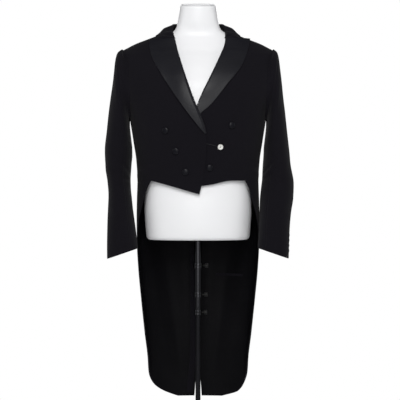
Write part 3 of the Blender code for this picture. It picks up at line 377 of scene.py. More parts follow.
# The lapels' outer edges: height and distance from the centre, from the break point to the peak.
RIGHT_LAPEL = Table("height x", (BREAK_POINT, 0.0215), (1.225, -0.0080), (1.268, -0.0406),
                    (1.345, -0.0937), (1.385, -0.1170), (1.419, -0.1348), (1.450, -0.1420),
                    (1.4700, -0.1428))
LEFT_LAPEL = Table("height x", (BREAK_POINT, -0.0220), (1.2503, 0.0080), (1.274, 0.0348),
                   (1.3408, 0.0884), (1.384, 0.1222), (1.4277, 0.1421), (1.452, 0.1490),
                   (1.4740, 0.1530))

# The side-back seam and, under the waist, the pleat: distance from the centre at each height.
BACK_SEAM = Table("height x", (0.385, 0.052), (0.700, 0.047), (0.950, 0.041), (1.030, 0.040),
                  (1.080, 0.050), (1.150, 0.083), (1.220, 0.124), (1.280, 0.163), (1.330, 0.199))
BACK_WAIST = 1.040
SKIRT_TURN = 60            # where the skirts' front edges start at the waist
ARMHOLE_BACK = 1.330       # where the side-back seam meets the armhole
SKIRT_HEIGHTS = [HEM_HEIGHT, 0.3975, 0.408, 0.423, 0.440, 0.475, 0.510, 0.550, 0.600, 0.650, 0.700,
                 0.750, 0.800, 0.850, 0.895, 0.935, 0.965, 0.995, 1.022, BACK_WAIST]


def waist_height(turn):
    """The waist seam: level under the forepart, falling over the side body to the back."""
    pleat_turn = turn_at(BACK_SEAM(BACK_WAIST).x, BACK_WAIST, back=True)
    reached = min(max((turn - WAIST_TURN) / (pleat_turn - WAIST_TURN), 0), 1)
    return mix(WAIST_HEIGHT, BACK_WAIST, reached)


def waist_turn(u):
    """The turn along the side body's lower edge, from the side seam to the pleat."""
    pleat_turn = turn_at(BACK_SEAM(BACK_WAIST).x, BACK_WAIST, back=True)
    height = mix(WAIST_HEIGHT, BACK_WAIST, u)
    ends = around(WAIST_HEIGHT, WAIST_TURN), around(BACK_WAIST, pleat_turn)
    return turn_around(height, mix(*ends, u))


def side_back_seam():
    return [(z, turn_at(BACK_SEAM(z).x, z, back=True))
            for z in [mix(BACK_WAIST, ARMHOLE_BACK, t) for t in BODY_ROWS]]


def pleat():
    return [(z, turn_at(BACK_SEAM(z).x, z, back=True)) for z in SKIRT_HEIGHTS]


# The vent's edges: how far each tail reaches from the centre toward its own side.
VENT = Table("height gap", (0.385, 0.0122), (0.440, 0.0080), (0.500, 0.0020), (0.540, 0.00015),
             (1.100, 0.00015))


def back_centre():
    tail = [(z, turn_at(VENT(z).gap, z, back=True)) for z in SKIRT_HEIGHTS]
    body = [mix(BACK_WAIST, ARMHOLE_BACK, t) for t in BODY_ROWS[1:]]
    upper = spread(ARMHOLE_BACK, NAPE, 8)[1:]
    return tail + [(z, turn_at(0.00015, z, back=True)) for z in body + upper]


def back_outer():
    arm = [(z, armhole_turn(z, back=True)) for z in (1.360, 1.392, 1.425, ARMHOLE_TOP)]
    return pleat() + side_back_seam()[1:] + arm + [(z, SHOULDER_BACK) for z in SHOULDER_HEIGHTS]


# The skirts' front edges: the turn at each height, past the side and round the hem's corner.
SKIRT_EDGE = Table("height turn", (HEM_HEIGHT, 129), (0.3975, 122), (0.408, 112), (0.423, 104.5),
                   (0.440, 100), (0.475, 95), (0.510, 93), (0.600, 92), (0.800, 90), (0.895, 85),
                   (0.950, 77), (1.000, 70.5), (1.020, 68), (1.040, 65), (WAIST_HEIGHT, 61.5))

# Degrees by which the left skirt's hem corner lies in front of that table and the right one's
# behind it.
HEM_SKEW = Table("height left right", (HEM_HEIGHT, 5.0, 0.5), (0.408, 4.5, 1.5), (0.423, 1.5, 1.5),
                 (0.440, 0, 1.0), (0.475, 0, 0))


def skirt_front(side):
    """The skirt's front edge; the left skirt's hem corner is the squarer one."""
    label = "left" if side > 0 else "right"
    last = len(SKIRT_HEIGHTS) - 1
    rise = (WAIST_HEIGHT - BACK_WAIST) / 4
    heights = [z + rise * max(i - last + 4, 0) for i, z in enumerate(SKIRT_HEIGHTS)]
    return [(z, SKIRT_EDGE(z).turn - side * getattr(HEM_SKEW(z), label)) for z in heights]


def no_lift(height, x):
    return 0.0


def right_lift(height, x):
    """How far the right forepart is carried off the body where it laps over the left one."""
    return OVERLAP_LIFT(height).lift * smooth(x, -0.100, -0.040)


WAIST_TUCK = 0.0006        # how far a skirt's top runs up under the coat's body
SEAM_TUCK = 0.0007         # how far a sewn edge runs under its neighbour
TUCK_RADIUS = 0.10         # the body's, for turning that into degrees
LAST_TURN = 179.99         # the centre back
CENTRE_TUCK = 0.0008       # how far each back runs past the centre back
CENTRE_REACH = 0.004       # how near the centre the cloth moves over for it


def tucked(near, far):
    """A panel's two edges, moved apart so that each runs on under its neighbour."""
    moved = []
    for (z0, turn0), (z1, turn1) in zip(near, far):
        ahead = math.degrees(SEAM_TUCK / TUCK_RADIUS) * math.copysign(1, turn1 - turn0)
        moved.append(((z0, min(turn0 - ahead, LAST_TURN)), (z1, min(turn1 + ahead, LAST_TURN))))
    return [pair[0] for pair in moved], [pair[1] for pair in moved]


def skirt_top(row, u, height, turn):
    """Bend the skirt's upper rows to the waist seam."""
    last = len(SKIRT_HEIGHTS) - 1
    top = waist_height(turn) + WAIST_TUCK
    return height + (top - mix(WAIST_HEIGHT, BACK_WAIST, u)) * max(1 - (last - row) / 4, 0)


def lapel_lift(side):
    """How far a lapel stands off its forepart: a soft roll, most at its middle and its peak."""
    roll, edge = (RIGHT_FRONT, RIGHT_LAPEL) if side < 0 else (LEFT_FRONT, LEFT_LAPEL)

    def lift(height, x):
        inside, outside = roll(min(height, GORGE)).x, edge(height).x
        u = min(max((x - inside) / (outside - inside), 0.0), 1.0)
        start = BREAK_POINT if side < 0 else LEFT_BREAK
        belly = math.sin(math.pi * min(max((height - start) / (1.41 - start), 0.0), 1.0))
        rise = 0.0030 * u * max(belly, 0.0) + 0.0035 * u * smooth(height, 1.42, 1.47)
        base = right_lift(height, x) if side < 0 else 0.0
        return base + rise
    return lift


def off_coat(point, clearance):
    """The point, moved out to be clear of the coat where the collar lies on it."""
    if point.z > ENVELOPE.keys[-1]:
        return point
    turn = math.degrees(math.atan2(point.x, ENVELOPE(point.z).middle - point.y))
    surface = envelope(point.z, turn, clearance)
    return point if point.xy.length > surface.xy.length else surface


def neck_seam_height(turn, front_turn):
    """The height of the forepart's neck seam at a turn."""
    low, high = 0.0, 1.0
    for _ in range(24):
        u = (low + high) / 2
        height = mix(GORGE, NECK_POINT, u)
        reached = turn_around(height, mix(around(GORGE, front_turn),
                                          around(NECK_POINT, SHOULDER_FRONT), u))
        low, high = (u, high) if reached < turn else (low, u)
    return mix(GORGE, NECK_POINT, low)


def collar_section(along, side):
    """The collar's section from the neck seam over the fold to the outer edge."""
    row = COLLAR(along)
    roll_x = (RIGHT_FRONT if side < 0 else LEFT_FRONT)(GORGE).x
    front_turn = abs(turn_at(roll_x, GORGE)) + 0.5
    lean = 1 - smooth(along, 0.0, 0.35)
    fold_turn = row.fold_turn + (front_turn - COLLAR(0).fold_turn) * lean
    if fold_turn < 90:
        seam_height = neck_seam_height(fold_turn, front_turn)
    else:
        seam_height = mix(NECK_POINT, NAPE, (fold_turn - 90) / 90)
    seam = envelope(seam_height, side * fold_turn, 0.0008) + Vector((0, 0, 0.0018))
    angle = math.radians(side * fold_turn)
    outward = Vector((math.sin(angle), -math.cos(angle), 0))
    reach = row.fold_radius + 0.0013 * (front_turn - COLLAR(0).fold_turn) * lean
    fold = outward * reach + Vector((0, 0, max(row.fold_height, seam.z + 0.0004)))
    edge = envelope(row.edge_height, side * row.edge_turn, CLOTH + 0.0024)
    fall = edge - fold
    over = fold + outward * 0.0048 - Vector((0, 0, 0.0004))
    middle = over + fall * 0.5 + outward * 0.004 + Vector((0, 0, 0.003 + 0.002 * along))
    clear = CLOTH + 0.0036
    rest = [off_coat(point, clear) for point in (over, middle, mix(middle, edge, 0.55))]
    crown = fold + outward * 0.0024 + Vector((0, 0, 0.0014))
    return [seam, mix(seam, fold, 0.55), fold, crown, *rest, edge]


ARMHOLE_CENTRE = (0.0, 1.345)


def armhole_rim(side, turn):
    """The sleeve's end at the armhole: the panels' outer edge and a seam's gap."""
    radius = armhole_radius(turn, ARMHOLE_CENTRE)
    y = ARMHOLE_CENTRE[0] - radius * math.sin(turn)
    z = ARMHOLE_CENTRE[1] + radius * math.cos(turn)
    section = ENVELOPE(z)
    angle = math.degrees(math.atan2(ARMHOLE(z).side, section.middle - y))
    edge = envelope(z, angle, CLOTH)
    return Vector((side * (edge.x + 4 * SEAM_GAP), edge.y, edge.z))


# ---- settings -----------------------------------------------------------------------------
def length(name, description, default):
    return FloatProperty(name=name, description=description, default=default, subtype="DISTANCE",
                         unit="LENGTH", precision=5)


def power(name, description, default):
    return FloatProperty(name=name, description=description, default=default, min=0, max=500,
                         subtype="POWER", unit="POWER")


def colour(name, description, default):
    return FloatVectorProperty(name=name, description=description, default=default,
                               subtype="COLOR", min=0, max=1)


class CoatSettings(bpy.types.PropertyGroup):
    """What a tailor would change on the coat"""
    mesh_step: length("Mesh Step", "Distance between neighbouring points of the cloth", 0.0045)
    seam_depth: length("Seam Depth", "How deep the cloth dips into its seams", 0.0008)
    twill: length("Twill Pitch", "Distance between the twill lines of the wool", 0.0009)
    rib: length("Rib Pitch", "Distance between the ribs of the silk", 0.0008)
    creases: FloatProperty(name="Creases", description="Depth of the creases, 1 as worn",
                           default=1.0, min=0, max=2, subtype="FACTOR")
    wool: colour("Wool", "Colour of the cloth", (0.0053, 0.0047, 0.0068))
    silk: colour("Silk", "Colour of the lapels and the covered buttons", (0.0050, 0.0049, 0.0074))
    lining: colour("Lining", "Colour of the linings", (0.0030, 0.0029, 0.0036))
    pearl: colour("Link Button", "Colour of the link button", (0.74, 0.73, 0.70))


class FormSettings(bpy.types.PropertyGroup):
    """What a shop fitter would change on the dress form and its stand"""
    shell: colour("Form", "Colour of the form's gloss coat", (0.80, 0.80, 0.81))
    metal: colour("Plating", "Colour of the bright metal", (0.055, 0.055, 0.060))
    steel: colour("Dark Steel", "Colour of the rod and the base", (0.022, 0.022, 0.025))
    plastic: colour("Plastic", "Colour of the thumb screws", (0.006, 0.006, 0.006))
    sides: IntProperty(name="Turning Steps", description="Sides of the turned pieces",
                       default=64, min=12, max=128)


class StageSettings(bpy.types.PropertyGroup):
    """The camera, the lamps and the floor"""
    distance: length("Distance", "From the camera to the mast", 3.5)
    height: length("Height", "Height of the camera", 1.0)
    shift: length("Side Step", "How far the camera stands to the side of the mast", 0.006)
    focal: FloatProperty(name="Focal Length", description="Focal length in millimetres on a "
                         "36 mm frame", default=105.0, min=20, max=300)
    floor: length("Floor", "Radius of the floor", 2.1)
    surround: FloatProperty(name="Surround", description="Strength of the white surround",
                            default=1.0, min=0, max=4)
    fill: FloatProperty(name="Fill", description="Strength of the surround's light on the coat",
                        default=0.28, min=0, max=4)
    key_lamp: power("Key Lamp", "Power of the lamp above the camera", 70)
    front_lamp: power("Front Lamp", "Power of the lamp at the camera", 13)
    side_lamp: power("Side Lamps", "Power of the side lamps", 10)
    back_lamp: power("Back Lamp", "Power of the lamp behind", 50)


def settings(name):
    return getattr(bpy.context.scene, "tailcoat_" + name)


# ---- finishes -----------------------------------------------------------------------------
class Signal:
    """A node's output in an expression; arithmetic on it adds the Math nodes."""

    def __init__(self, finish, socket):
        self.finish, self.socket = finish, socket

    def maths(self, operation, *values):
        return self.finish.node("ShaderNodeMath", {"operation": operation},
                                dict(enumerate(values)))

    def __add__(self, other):
        return self.maths("ADD", self, other)

    def __mul__(self, other):
        return self.maths("MULTIPLY", self, other)

    def __truediv__(self, other):
        return self.maths("DIVIDE", self, other)

    def __sub__(self, other):
        return self.maths("SUBTRACT", self, other)

    def __rsub__(self, other):
        return self.maths("SUBTRACT", other, self)

    def __rtruediv__(self, other):
        return self.maths("DIVIDE", other, self)

    __radd__, __rmul__ = __add__, __mul__

    def ridge(self):
        """A triangle wave, 0 to 1, with one ridge for each whole number."""
        return self.maths("PINGPONG", self, 0.5) * 2


class Finish:
    """A material under construction."""

    def __init__(self, name, **uniform):
        self.material = bpy.data.materials.new(name)
        self.material.use_nodes = True
        self.nodes = self.material.node_tree.nodes
        self.shader = self.nodes["Principled BSDF"]
        for socket, value in uniform.items():
            self.feed(self.shader.inputs[socket.replace("_", " ").title().replace("Ior", "IOR")],
                      value)

    def feed(self, target, value):
        if isinstance(value, Signal):
            self.material.node_tree.links.new(value.socket, target)
        elif hasattr(value, "__len__") and len(value) == 3 and target.type == "RGBA":
            target.default_value = (*value, 1)
        else:
            target.default_value = value

    def node(self, kind, options=None, sockets=None, output=0):
        item = self.nodes.new(kind)
        for name, value in (options or {}).items():
            setattr(item, name, value)
        for name, value in (sockets or {}).items():
            self.feed(item.inputs[name], value)
        return Signal(self, item.outputs[output])

    def place(self):
        return self.node("ShaderNodeTexCoord", output="Object")

    def cloth_axes(self):
        """The distances across and along a panel, in metres."""
        flat = self.node("ShaderNodeUVMap", {"uv_map": "cloth"})
        axes = self.nodes.new("ShaderNodeSeparateXYZ")
        self.feed(axes.inputs[0], flat)
        return Signal(self, axes.outputs[0]), Signal(self, axes.outputs[1])

    def grain(self, scale, detail=2.0, coordinates=None):
        return self.node("ShaderNodeTexNoise", None,
                         {"Vector": coordinates or self.place(), "Scale": scale, "Detail": detail})

    def tint(self, dark, light, factor):
        """Colour between two colours."""
        blend = self.nodes.new("ShaderNodeMix")
        blend.data_type = "RGBA"
        for socket, value in ((0, factor), (6, dark), (7, light)):
            self.feed(blend.inputs[socket], value)
        self.feed(self.shader.inputs["Base Color"], Signal(self, blend.outputs[2]))

    def wear(self, roughness):
        self.feed(self.shader.inputs["Roughness"], roughness)

    def relief(self, height, distance, strength=1.0):
        bump = self.node("ShaderNodeBump", None,
                         {"Height": height, "Distance": distance, "Strength": strength})
        self.feed(self.shader.inputs["Normal"], bump)


def shade(colour_value, factor):
    return tuple(min(part * factor, 1.0) for part in colour_value)


@lru_cache(None)
def wool():
    """Fine worsted twill with a short nap."""
    coat = settings("coat")
    finish = Finish("wool_twill", roughness=0.86, specular_ior_level=0.05, sheen_weight=0.035,
                    sheen_roughness=0.55)
    across, along = finish.cloth_axes()
    twill = ((across + along) / coat.twill).ridge()
    nap = finish.grain(900.0, 3.0)
    wear = finish.grain(14.0, 3.0)
    finish.tint(shade(coat.wool, 0.80), shade(coat.wool, 1.25), wear * 0.6 + nap * 0.4)
    finish.wear(0.80 + wear * 0.12)
    finish.relief(twill * 0.55 + nap * 0.45, 0.00012, 0.6)
    return finish.material


@lru_cache(None)
def silk():
    """Ribbed silk facing: a low, soft gloss with fine ribs across it."""
    coat = settings("coat")
    finish = Finish("ribbed_silk", roughness=0.44, specular_ior_level=0.22, sheen_weight=0.02,
                    sheen_roughness=0.35)
    along = finish.cloth_axes()[1]
    ribs = (along / coat.rib).ridge()
    slub = finish.grain(220.0, 2.0)
    cloud = finish.grain(16.0, 2.0)
    finish.tint(shade(coat.silk, 0.82), shade(coat.silk, 1.22), cloud * 0.7 + slub * 0.3)
    finish.wear(0.40 + cloud * 0.08)
    finish.relief(ribs * 0.7 + slub * 0.3, 0.00008, 0.5)
    return finish.material


@lru_cache(None)
def button_silk():
    """The same silk over a button, with its weave on the button's own place."""
    coat = settings("coat")
    finish = Finish("button_silk", roughness=0.34, specular_ior_level=0.13)
    weave = finish.grain(1400.0, 1.0)
    finish.tint(shade(coat.silk, 0.7), shade(coat.silk, 1.2), weave)
    finish.relief(weave, 0.00006, 0.5)
    return finish.material


@lru_cache(None)
def lining():
    """Dark lining silk."""
    coat = settings("coat")
    finish = Finish("lining_silk", roughness=0.46, specular_ior_level=0.05)
    across, along = finish.cloth_axes()
    weave = ((across / 0.0005).ridge() + (along / 0.0005).ridge()) * 0.5
    cloud = finish.grain(12.0, 2.0)
    finish.tint(shade(coat.lining, 0.75), shade(coat.lining, 1.3), cloud)
    finish.wear(0.40 + cloud * 0.14)
    finish.relief(weave, 0.00005, 0.5)
    return finish.material


@lru_cache(None)
def pearl():
    coat = settings("coat")
    finish = Finish("link_button_pearl", roughness=0.24, specular_ior_level=0.5, coat_weight=0.4)
    bands = finish.grain(260.0, 2.0)
    finish.tint(shade(coat.pearl, 0.86), coat.pearl, bands)
    finish.relief(bands, 0.00005, 0.4)
    return finish.material


@lru_cache(None)
def thread():
    coat = settings("coat")
    finish = Finish("black_thread", roughness=0.6, specular_ior_level=0.35)
    twist = finish.grain(2500.0, 1.0)
    finish.tint(shade(coat.wool, 0.6), shade(coat.wool, 1.6), twist)
    finish.relief(twist, 0.0001, 0.6)
    return finish.material


@lru_cache(None)
def gloss_shell():
    """The form's white gloss coat over glass fibre, faintly wavy, duller where it is handled."""
    form = settings("form")
    finish = Finish("form_gloss_white", roughness=0.40, specular_ior_level=0.30, coat_weight=0.08,
                    coat_roughness=0.20)
    waves = finish.grain(9.0, 2.0)
    dust = finish.grain(120.0, 3.0)
    finish.tint(shade(form.shell, 0.97), shade(form.shell, 1.02), waves)
    finish.wear(0.34 + dust * 0.14)
    finish.relief(waves * 0.8 + dust * 0.2, 0.0004, 0.25)
    return finish.material


@lru_cache(None)
def metal(name, tone, roughness, pitch):
    """Bright or dark metal with the fine marks of a tube that slides."""
    finish = Finish(name, roughness=roughness, metallic=1.0)
    stretched = finish.node("ShaderNodeMapping", None,
                            {"Vector": finish.place(), "Scale": (1.0, 1.0, 0.05)})
    marks = finish.grain(pitch, 3.0, stretched)
    rub = finish.grain(30.0, 3.0)
    finish.tint(shade(tone, 0.84), shade(tone, 1.08), marks * 0.5 + rub * 0.5)
    finish.wear(roughness * 0.75 + rub * (roughness * 0.6))
    finish.relief(marks, 0.00004, 0.4)
    return finish.material


def plating():
    return metal("bright_plating", tuple(settings("form").metal), 0.14, 1500.0)


def dark_steel():
    return metal("dark_steel", tuple(settings("form").steel), 0.36, 900.0)


@lru_cache(None)
def plastic():
    """Moulded black plastic with a fine grain."""
    form = settings("form")
    finish = Finish("moulded_plastic", roughness=0.55, specular_ior_level=0.2)
    grain = finish.grain(1800.0, 2.0)
    finish.tint(shade(form.plastic, 0.8), shade(form.plastic, 1.5), grain)
    finish.wear(0.48 + grain * 0.14)
    finish.relief(grain, 0.00006, 0.5)
    return finish.material


@lru_cache(None)
def powder_coat():
    """The base's dark powder coat with its orange peel."""
    form = settings("form")
    finish = Finish("base_powder_coat", roughness=0.5, specular_ior_level=0.4)
    peel = finish.grain(700.0, 2.0)
    scuff = finish.grain(25.0, 4.0)
    finish.tint(shade(form.steel, 0.5), shade(form.steel, 0.9), peel * 0.4 + scuff * 0.6)
    finish.wear(0.42 + scuff * 0.16)
    finish.relief(peel, 0.0002, 0.5)
    return finish.material


# ---- cloth on the envelope ------------------------------------------------------------------
# Soft creases of the body's cloth: where each starts and ends as (turn, height) on the wearer's
# left and on the right, its half width, and its depth, which is less than 0 for a trough.
Crease = namedtuple("Crease", "start end width depth")
BODY_CREASES = {1: [Crease(*row) for row in (
    ((52, 1.262), (40, 1.205), 0.013, -0.0016),
    ((64, 1.250), (57, 1.180), 0.011, -0.0013),
    ((50, 1.120), (88, 1.086), 0.009, -0.0011),
    ((58, 1.092), (94, 1.070), 0.008, 0.0010),
    ((108, 1.066), (150, 1.078), 0.010, -0.0012),
    ((104, 1.092), (138, 1.110), 0.011, 0.0012),
    ((118, 1.345), (127, 1.225), 0.016, 0.0022),
    ((134, 1.330), (136, 1.215), 0.014, -0.0016),
    ((98, 0.930), (104, 0.560), 0.022, 0.0028),
    ((118, 0.960), (122, 0.480), 0.020, -0.0030),
    ((136, 0.900), (138, 0.450), 0.018, 0.0026),
    ((164, 0.860), (166, 0.440), 0.014, -0.0016),
)], -1: [Crease(*row) for row in (
    ((54, 1.266), (44, 1.196), 0.013, -0.0015),
    ((66, 1.246), (60, 1.176), 0.010, -0.0012),
    ((46, 1.112), (86, 1.090), 0.010, -0.0012),
    ((60, 1.088), (96, 1.066), 0.008, 0.0010),
    ((106, 1.070), (148, 1.074), 0.010, -0.0011),
    ((102, 1.096), (134, 1.116), 0.012, 0.0012),
    ((120, 1.340), (129, 1.220), 0.015, 0.0020),
    ((136, 1.325), (139, 1.205), 0.014, -0.0016),
    ((100, 0.920), (102, 0.540), 0.020, 0.0026),
    ((114, 0.950), (119, 0.500), 0.021, -0.0028),
    ((132, 0.910), (136, 0.440), 0.019, 0.0028),
    ((162, 0.840), (165, 0.450), 0.014, -0.0016),
)]}
TURN_TO_METRES = 0.0026    # one degree round the body, for the creases' widths


def crease_depth(creases, across, along):
    """The creases' sum at a point in metres; each fades out at its ends."""
    total = 0.0
    for (x0, y0), (x1, y1), width, depth in creases:
        dx, dy = x1 - x0, y1 - y0
        reach = math.hypot(dx, dy)
        t = ((across - x0) * dx + (along - y0) * dy) / reach ** 2
        off = abs((across - x0) * dy - (along - y0) * dx) / reach
        if off < 2.6 * width and -0.1 < t < 1.1:
            fade = smooth(t, -0.1, 0.35) * (1 - smooth(t, 0.6, 1.1))
            total += depth * fade * math.exp(-(off / width) ** 2)
    return total


def metres(creases, scale):
    return [Crease((a[0] * scale[0], a[1] * scale[1]), (b[0] * scale[0], b[1] * scale[1]), w, d)
            for a, b, w, d in creases]


BODY_LINES = {side: metres(rows, (TURN_TO_METRES, 1.0)) for side, rows in BODY_CREASES.items()}


def draped(height, turn, out):
    """A point of the envelope with the body's creases."""
    side = -1 if turn < 0 else 1
    depth = crease_depth(BODY_LINES[side], abs(turn) * TURN_TO_METRES, height)
    return envelope(height, turn, out + depth * settings("coat").creases)


# Distances from a panel's edge where its mesh has a line, so that seams and edges are crisp.
EDGE_LINES = (0.0, 0.0007, 0.0015, 0.0027, 0.0046)
SEAM_HALF_WIDTH = 0.0014


def edge_spread(size, step):
    """Places from 0 to size: close together at both ends, then about a step apart."""
    ends = [d for d in EDGE_LINES if d < size * 0.3]
    inner = max(round((size - 2 * ends[-1]) / step), 2)
    middle = spread(ends[-1], size - ends[-1], inner)
    return ends[:-1] + middle + [size - d for d in reversed(ends[:-1])]


def grid_mesh(rows, columns):
    """A grid's bmesh and its vertices by row and column."""
    work = bmesh.new()
    bmesh.ops.create_grid(work, x_segments=columns - 1, y_segments=rows - 1, size=0.5)
    table = [[None] * columns for _ in range(rows)]
    for vert in work.verts:
        row, column = (vert.co.y + 0.5) * (rows - 1), (vert.co.x + 0.5) * (columns - 1)
        table[round(row)][round(column)] = vert
    return work, table


class Cut(namedtuple("Cut", "width length area")):
    """A piece's flat cut, measured along its threads."""


def lay_out(work, table):
    """Give a grid its cloth map in metres, and return its flat size."""
    rows, columns = len(table), len(table[0])
    width = [[0.0] * columns for _ in range(rows)]
    along = [[0.0] * columns for _ in range(rows)]
    for i in range(rows):
        for j in range(columns):
            if j:
                width[i][j] = width[i][j - 1] + (table[i][j].co - table[i][j - 1].co).length
            if i:
                along[i][j] = along[i - 1][j] + (table[i][j].co - table[i - 1][j].co).length
    flat = work.loops.layers.uv.new("cloth")
    where = {table[i][j]: (width[i][j] - width[i][-1] / 2, along[i][j])
             for i in range(rows) for j in range(columns)}
    for face in work.faces:
        for loop in face.loops:
            loop[flat].uv = where[loop.vert]
    area = sum(face.calc_area() for face in work.faces)
    return Cut(max(line[-1] for line in width), max(along[-1]), area)


def finished(name, work, materials, body, slot, *nodes):
    """The piece's object, riding on its body in place of its CAD nodes."""
    mesh = bpy.data.meshes.new(name)
    work.to_mesh(mesh)
    work.free()
    for material in materials:
        mesh.materials.append(material)
    mesh.shade_smooth()
    item = bpy.data.objects.new(name, mesh)
    bpy.context.scene.collection.objects.link(item)
    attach(item, body)
    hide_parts(*nodes)
    return item


def outward(work, away):
    """Turn the faces so that they point along away(place)."""
    total = sum(face.normal.dot(away(face.calc_center_median())) * face.calc_area()
                for face in work.faces)
    if total < 0:
        bmesh.ops.reverse_faces(work, faces=work.faces)


def off_mast(place):
    return Vector((place.x, place.y, 0))


def cloth(name, table_of_places, material, node, away=off_mast, thickness=CLOTH, slot="wool",
          inside=None, offset=-1.0, held="draped", rests_on=("form_shell",), edge=0.0006,
          with_pieces=()):
    """A sheet of cloth through a table of places, with its thickness inside them."""
    rows, columns = len(table_of_places), len(table_of_places[0])
    work, table = grid_mesh(rows, columns)
    for line, places in zip(table, table_of_places):
        for vert, place in zip(line, places):
            vert.co = place
    work.normal_update()
    cut = lay_out(work, table)
    outward(work, away)
    item = finished(name, work, [material] + ([inside] if inside else []), "dressed_form", slot,
                    node)
    wall = item.modifiers.new("thickness", "SOLIDIFY")
    wall.thickness, wall.offset, wall.use_even_offset = thickness, offset, False
    if inside:
        wall.material_offset = 1
    round_over(item, edge, 60)
    PIECES.append((item, cut, held, rests_on, with_pieces))
    return item


def round_over(item, width, angle, segments=2):
    bevel = item.modifiers.new("edges", "BEVEL")
    bevel.width, bevel.segments = width, segments
    bevel.limit_method, bevel.angle_limit = "ANGLE", math.radians(angle)


PIECES = []                # the sheets and their flat cuts, gone over at the end once all of them exist


def declare_sheets():
    for item, cut, held, rests_on, with_pieces in PIECES:
        area = min(cut.area, cut.width * cut.length)
        round(cut.width + 0.001, 3)


def edge_curve(points):
    """An edge's points as smooth columns over the row's number."""
    return Table("row height turn", *[(i, z, turn) for i, (z, turn) in enumerate(points)])


def seam_dip(*distances):
    depth = settings("coat").seam_depth
    return -depth * max(math.exp(-(d / SEAM_HALF_WIDTH) ** 2) for d in distances)


def panel_places(near, far, side, seams="", out=CLOTH, lift=no_lift, heights=None, trim=None):
    """The table of places of a panel between two edges of the envelope.

    seams names the sides that are sewn: n(ear), f(ar), b(ottom), t(op). trim(row) is how far the
    near edge is cut back."""
    coat = settings("coat")
    near_curve, far_curve = edge_curve(near), edge_curve(far)

    def across(row, u):
        z0, turn0 = near_curve(row)[1:]
        z1, turn1 = far_curve(row)[1:]
        height = mix(z0, z1, u)
        turn = turn_around(height, mix(around(z0, turn0), around(z1, turn1), u))
        if heights:
            height = heights(row, u, height, turn)
        return height, turn

    def bare(row, u):
        height, turn = across(row, u)
        return envelope(height, side * turn)

    last = len(near) - 1
    rungs = [[bare(row, u) for u in (0, 0.5, 1)] for row in spread(0, last, 4 * last)]
    climbs = [max((b - a).length for a, b in zip(low, high))
              for low, high in zip(rungs, rungs[1:])]
    climbed = [sum(climbs[:i]) for i in range(len(climbs) + 1)]
    to_row = Table("climb row", *[(c, i / 4) for i, c in enumerate(climbed)])
    rows = [to_row(c).row for c in edge_spread(climbed[-1], coat.mesh_step)]
    spans = []
    for row in rows:
        line = [bare(row, u) for u in spread(0, 1, 8)]
        spans.append(sum((b - a).length for a, b in zip(line, line[1:])))
    count = len(edge_spread(max(spans), coat.mesh_step))
    table = []
    for row, span, climb in zip(rows, spans, edge_spread(climbed[-1], coat.mesh_step)):
        cut_back = trim(row) if trim else 0.0
        usable = span - cut_back
        places = edge_spread_count(usable, count)
        line = []
        for place in places:
            u = (place + cut_back) / span
            height, turn = across(row, u)
            gaps = [gap for flag, gap in (("n", place), ("f", usable - place), ("b", climb),
                                          ("t", climbed[-1] - climb)) if flag in seams]
            raised = lift(height, envelope(height, side * turn).x)
            dip = seam_dip(*gaps) if gaps else 0.0
            line.append(draped(height, side * turn, out + raised + dip))
        table.append(line)
    return table


def edge_spread_count(size, count):
    """As edge_spread, with a set number of places."""
    ends = [min(d, size * 0.04 * i) for i, d in enumerate(EDGE_LINES)]
    inner = count - 2 * (len(ends) - 1)
    middle = spread(ends[-1], size - ends[-1], inner - 1)
    return ends[:-1] + middle + [size - d for d in reversed(ends[:-1])]


# ---- the coat's body ----------------------------------------------------------------------
FOLD_ROOM = 0.0050         # how far a forepart stops short of its lapel's fold


def make_foreparts():
    for (side, label), table, lift in zip(SIDES, (RIGHT_FRONT, LEFT_FRONT),
                                          (right_lift, no_lift)):
        near, far = tucked(front_edge(table, side), forepart_back_edge())
        tip_height, tip_turn = near[0]
        heights = [z for z, _ in near]

        def hem(row, u, height, turn):
            reached = min(max((turn - tip_turn) / (SKIRT_TURN - tip_turn), 0), 1)
            level = mix(tip_height, WAIST_HEIGHT, reached ** HEM_BEND)
            if side > 0:
                level += HEM_ARCH * math.exp(-((turn - ARCH_TURN) / ARCH_WIDTH) ** 2)
            return height + (level - mix(tip_height, WAIST_HEIGHT, u)) * max(1 - row / 4, 0)

        def trim(row):
            low = min(int(row), len(heights) - 2)
            height = mix(heights[low], heights[low + 1], row - low)
            return FOLD_ROOM * smooth(height, BREAK_POINT - 0.004, BREAK_POINT + 0.016)

        places = panel_places(near, far, side, "ft", lift=lift, heights=hem, trim=trim)
        cloth(f"wool_forepart_{label}", places, wool(), f"forepart_{label}", inside=lining())


def make_side_bodies():
    def underarm(row, u, height, turn):
        low, high = UNDERARM - 0.002, ARMHOLE_BACK + 0.002
        for _ in range(24):
            middle = (low + high) / 2
            outside = envelope(middle, turn).x > ARMHOLE(middle).side
            low, high = (low, middle) if outside else (middle, high)
        top = min(mix(SIDE_TOP, ARMHOLE_BACK, u), low - 0.0026)
        level = height + (top - mix(SIDE_TOP, ARMHOLE_BACK, u)) * (row / 6) ** 2
        waist = waist_height(waist_turn(u)) + SEAM_GAP / 2
        return level + (waist - mix(WAIST_HEIGHT, BACK_WAIST, u)) * max(1 - row / 3, 0)

    for side, label in SIDES:
        near, far = tucked(side_seam(), side_back_seam())
        places = panel_places(near, far, side, "nfbt", heights=underarm)
        cloth(f"wool_side_body_{label}", places, wool(), f"side_body_{label}", inside=lining())


def make_backs():
    for side, label in SIDES:
        near, far = tucked(back_centre(), back_outer())
        table = panel_places(near, far, side, "nft")
        for line in table:
            over = CENTRE_TUCK * math.exp(-(line[0].x / CENTRE_REACH) ** 2)
            line[0] = line[0] - Vector((side * over, 0, 0))
        cloth(f"wool_back_{label}", table, wool(), f"back_{label}", inside=lining(), held="hung")


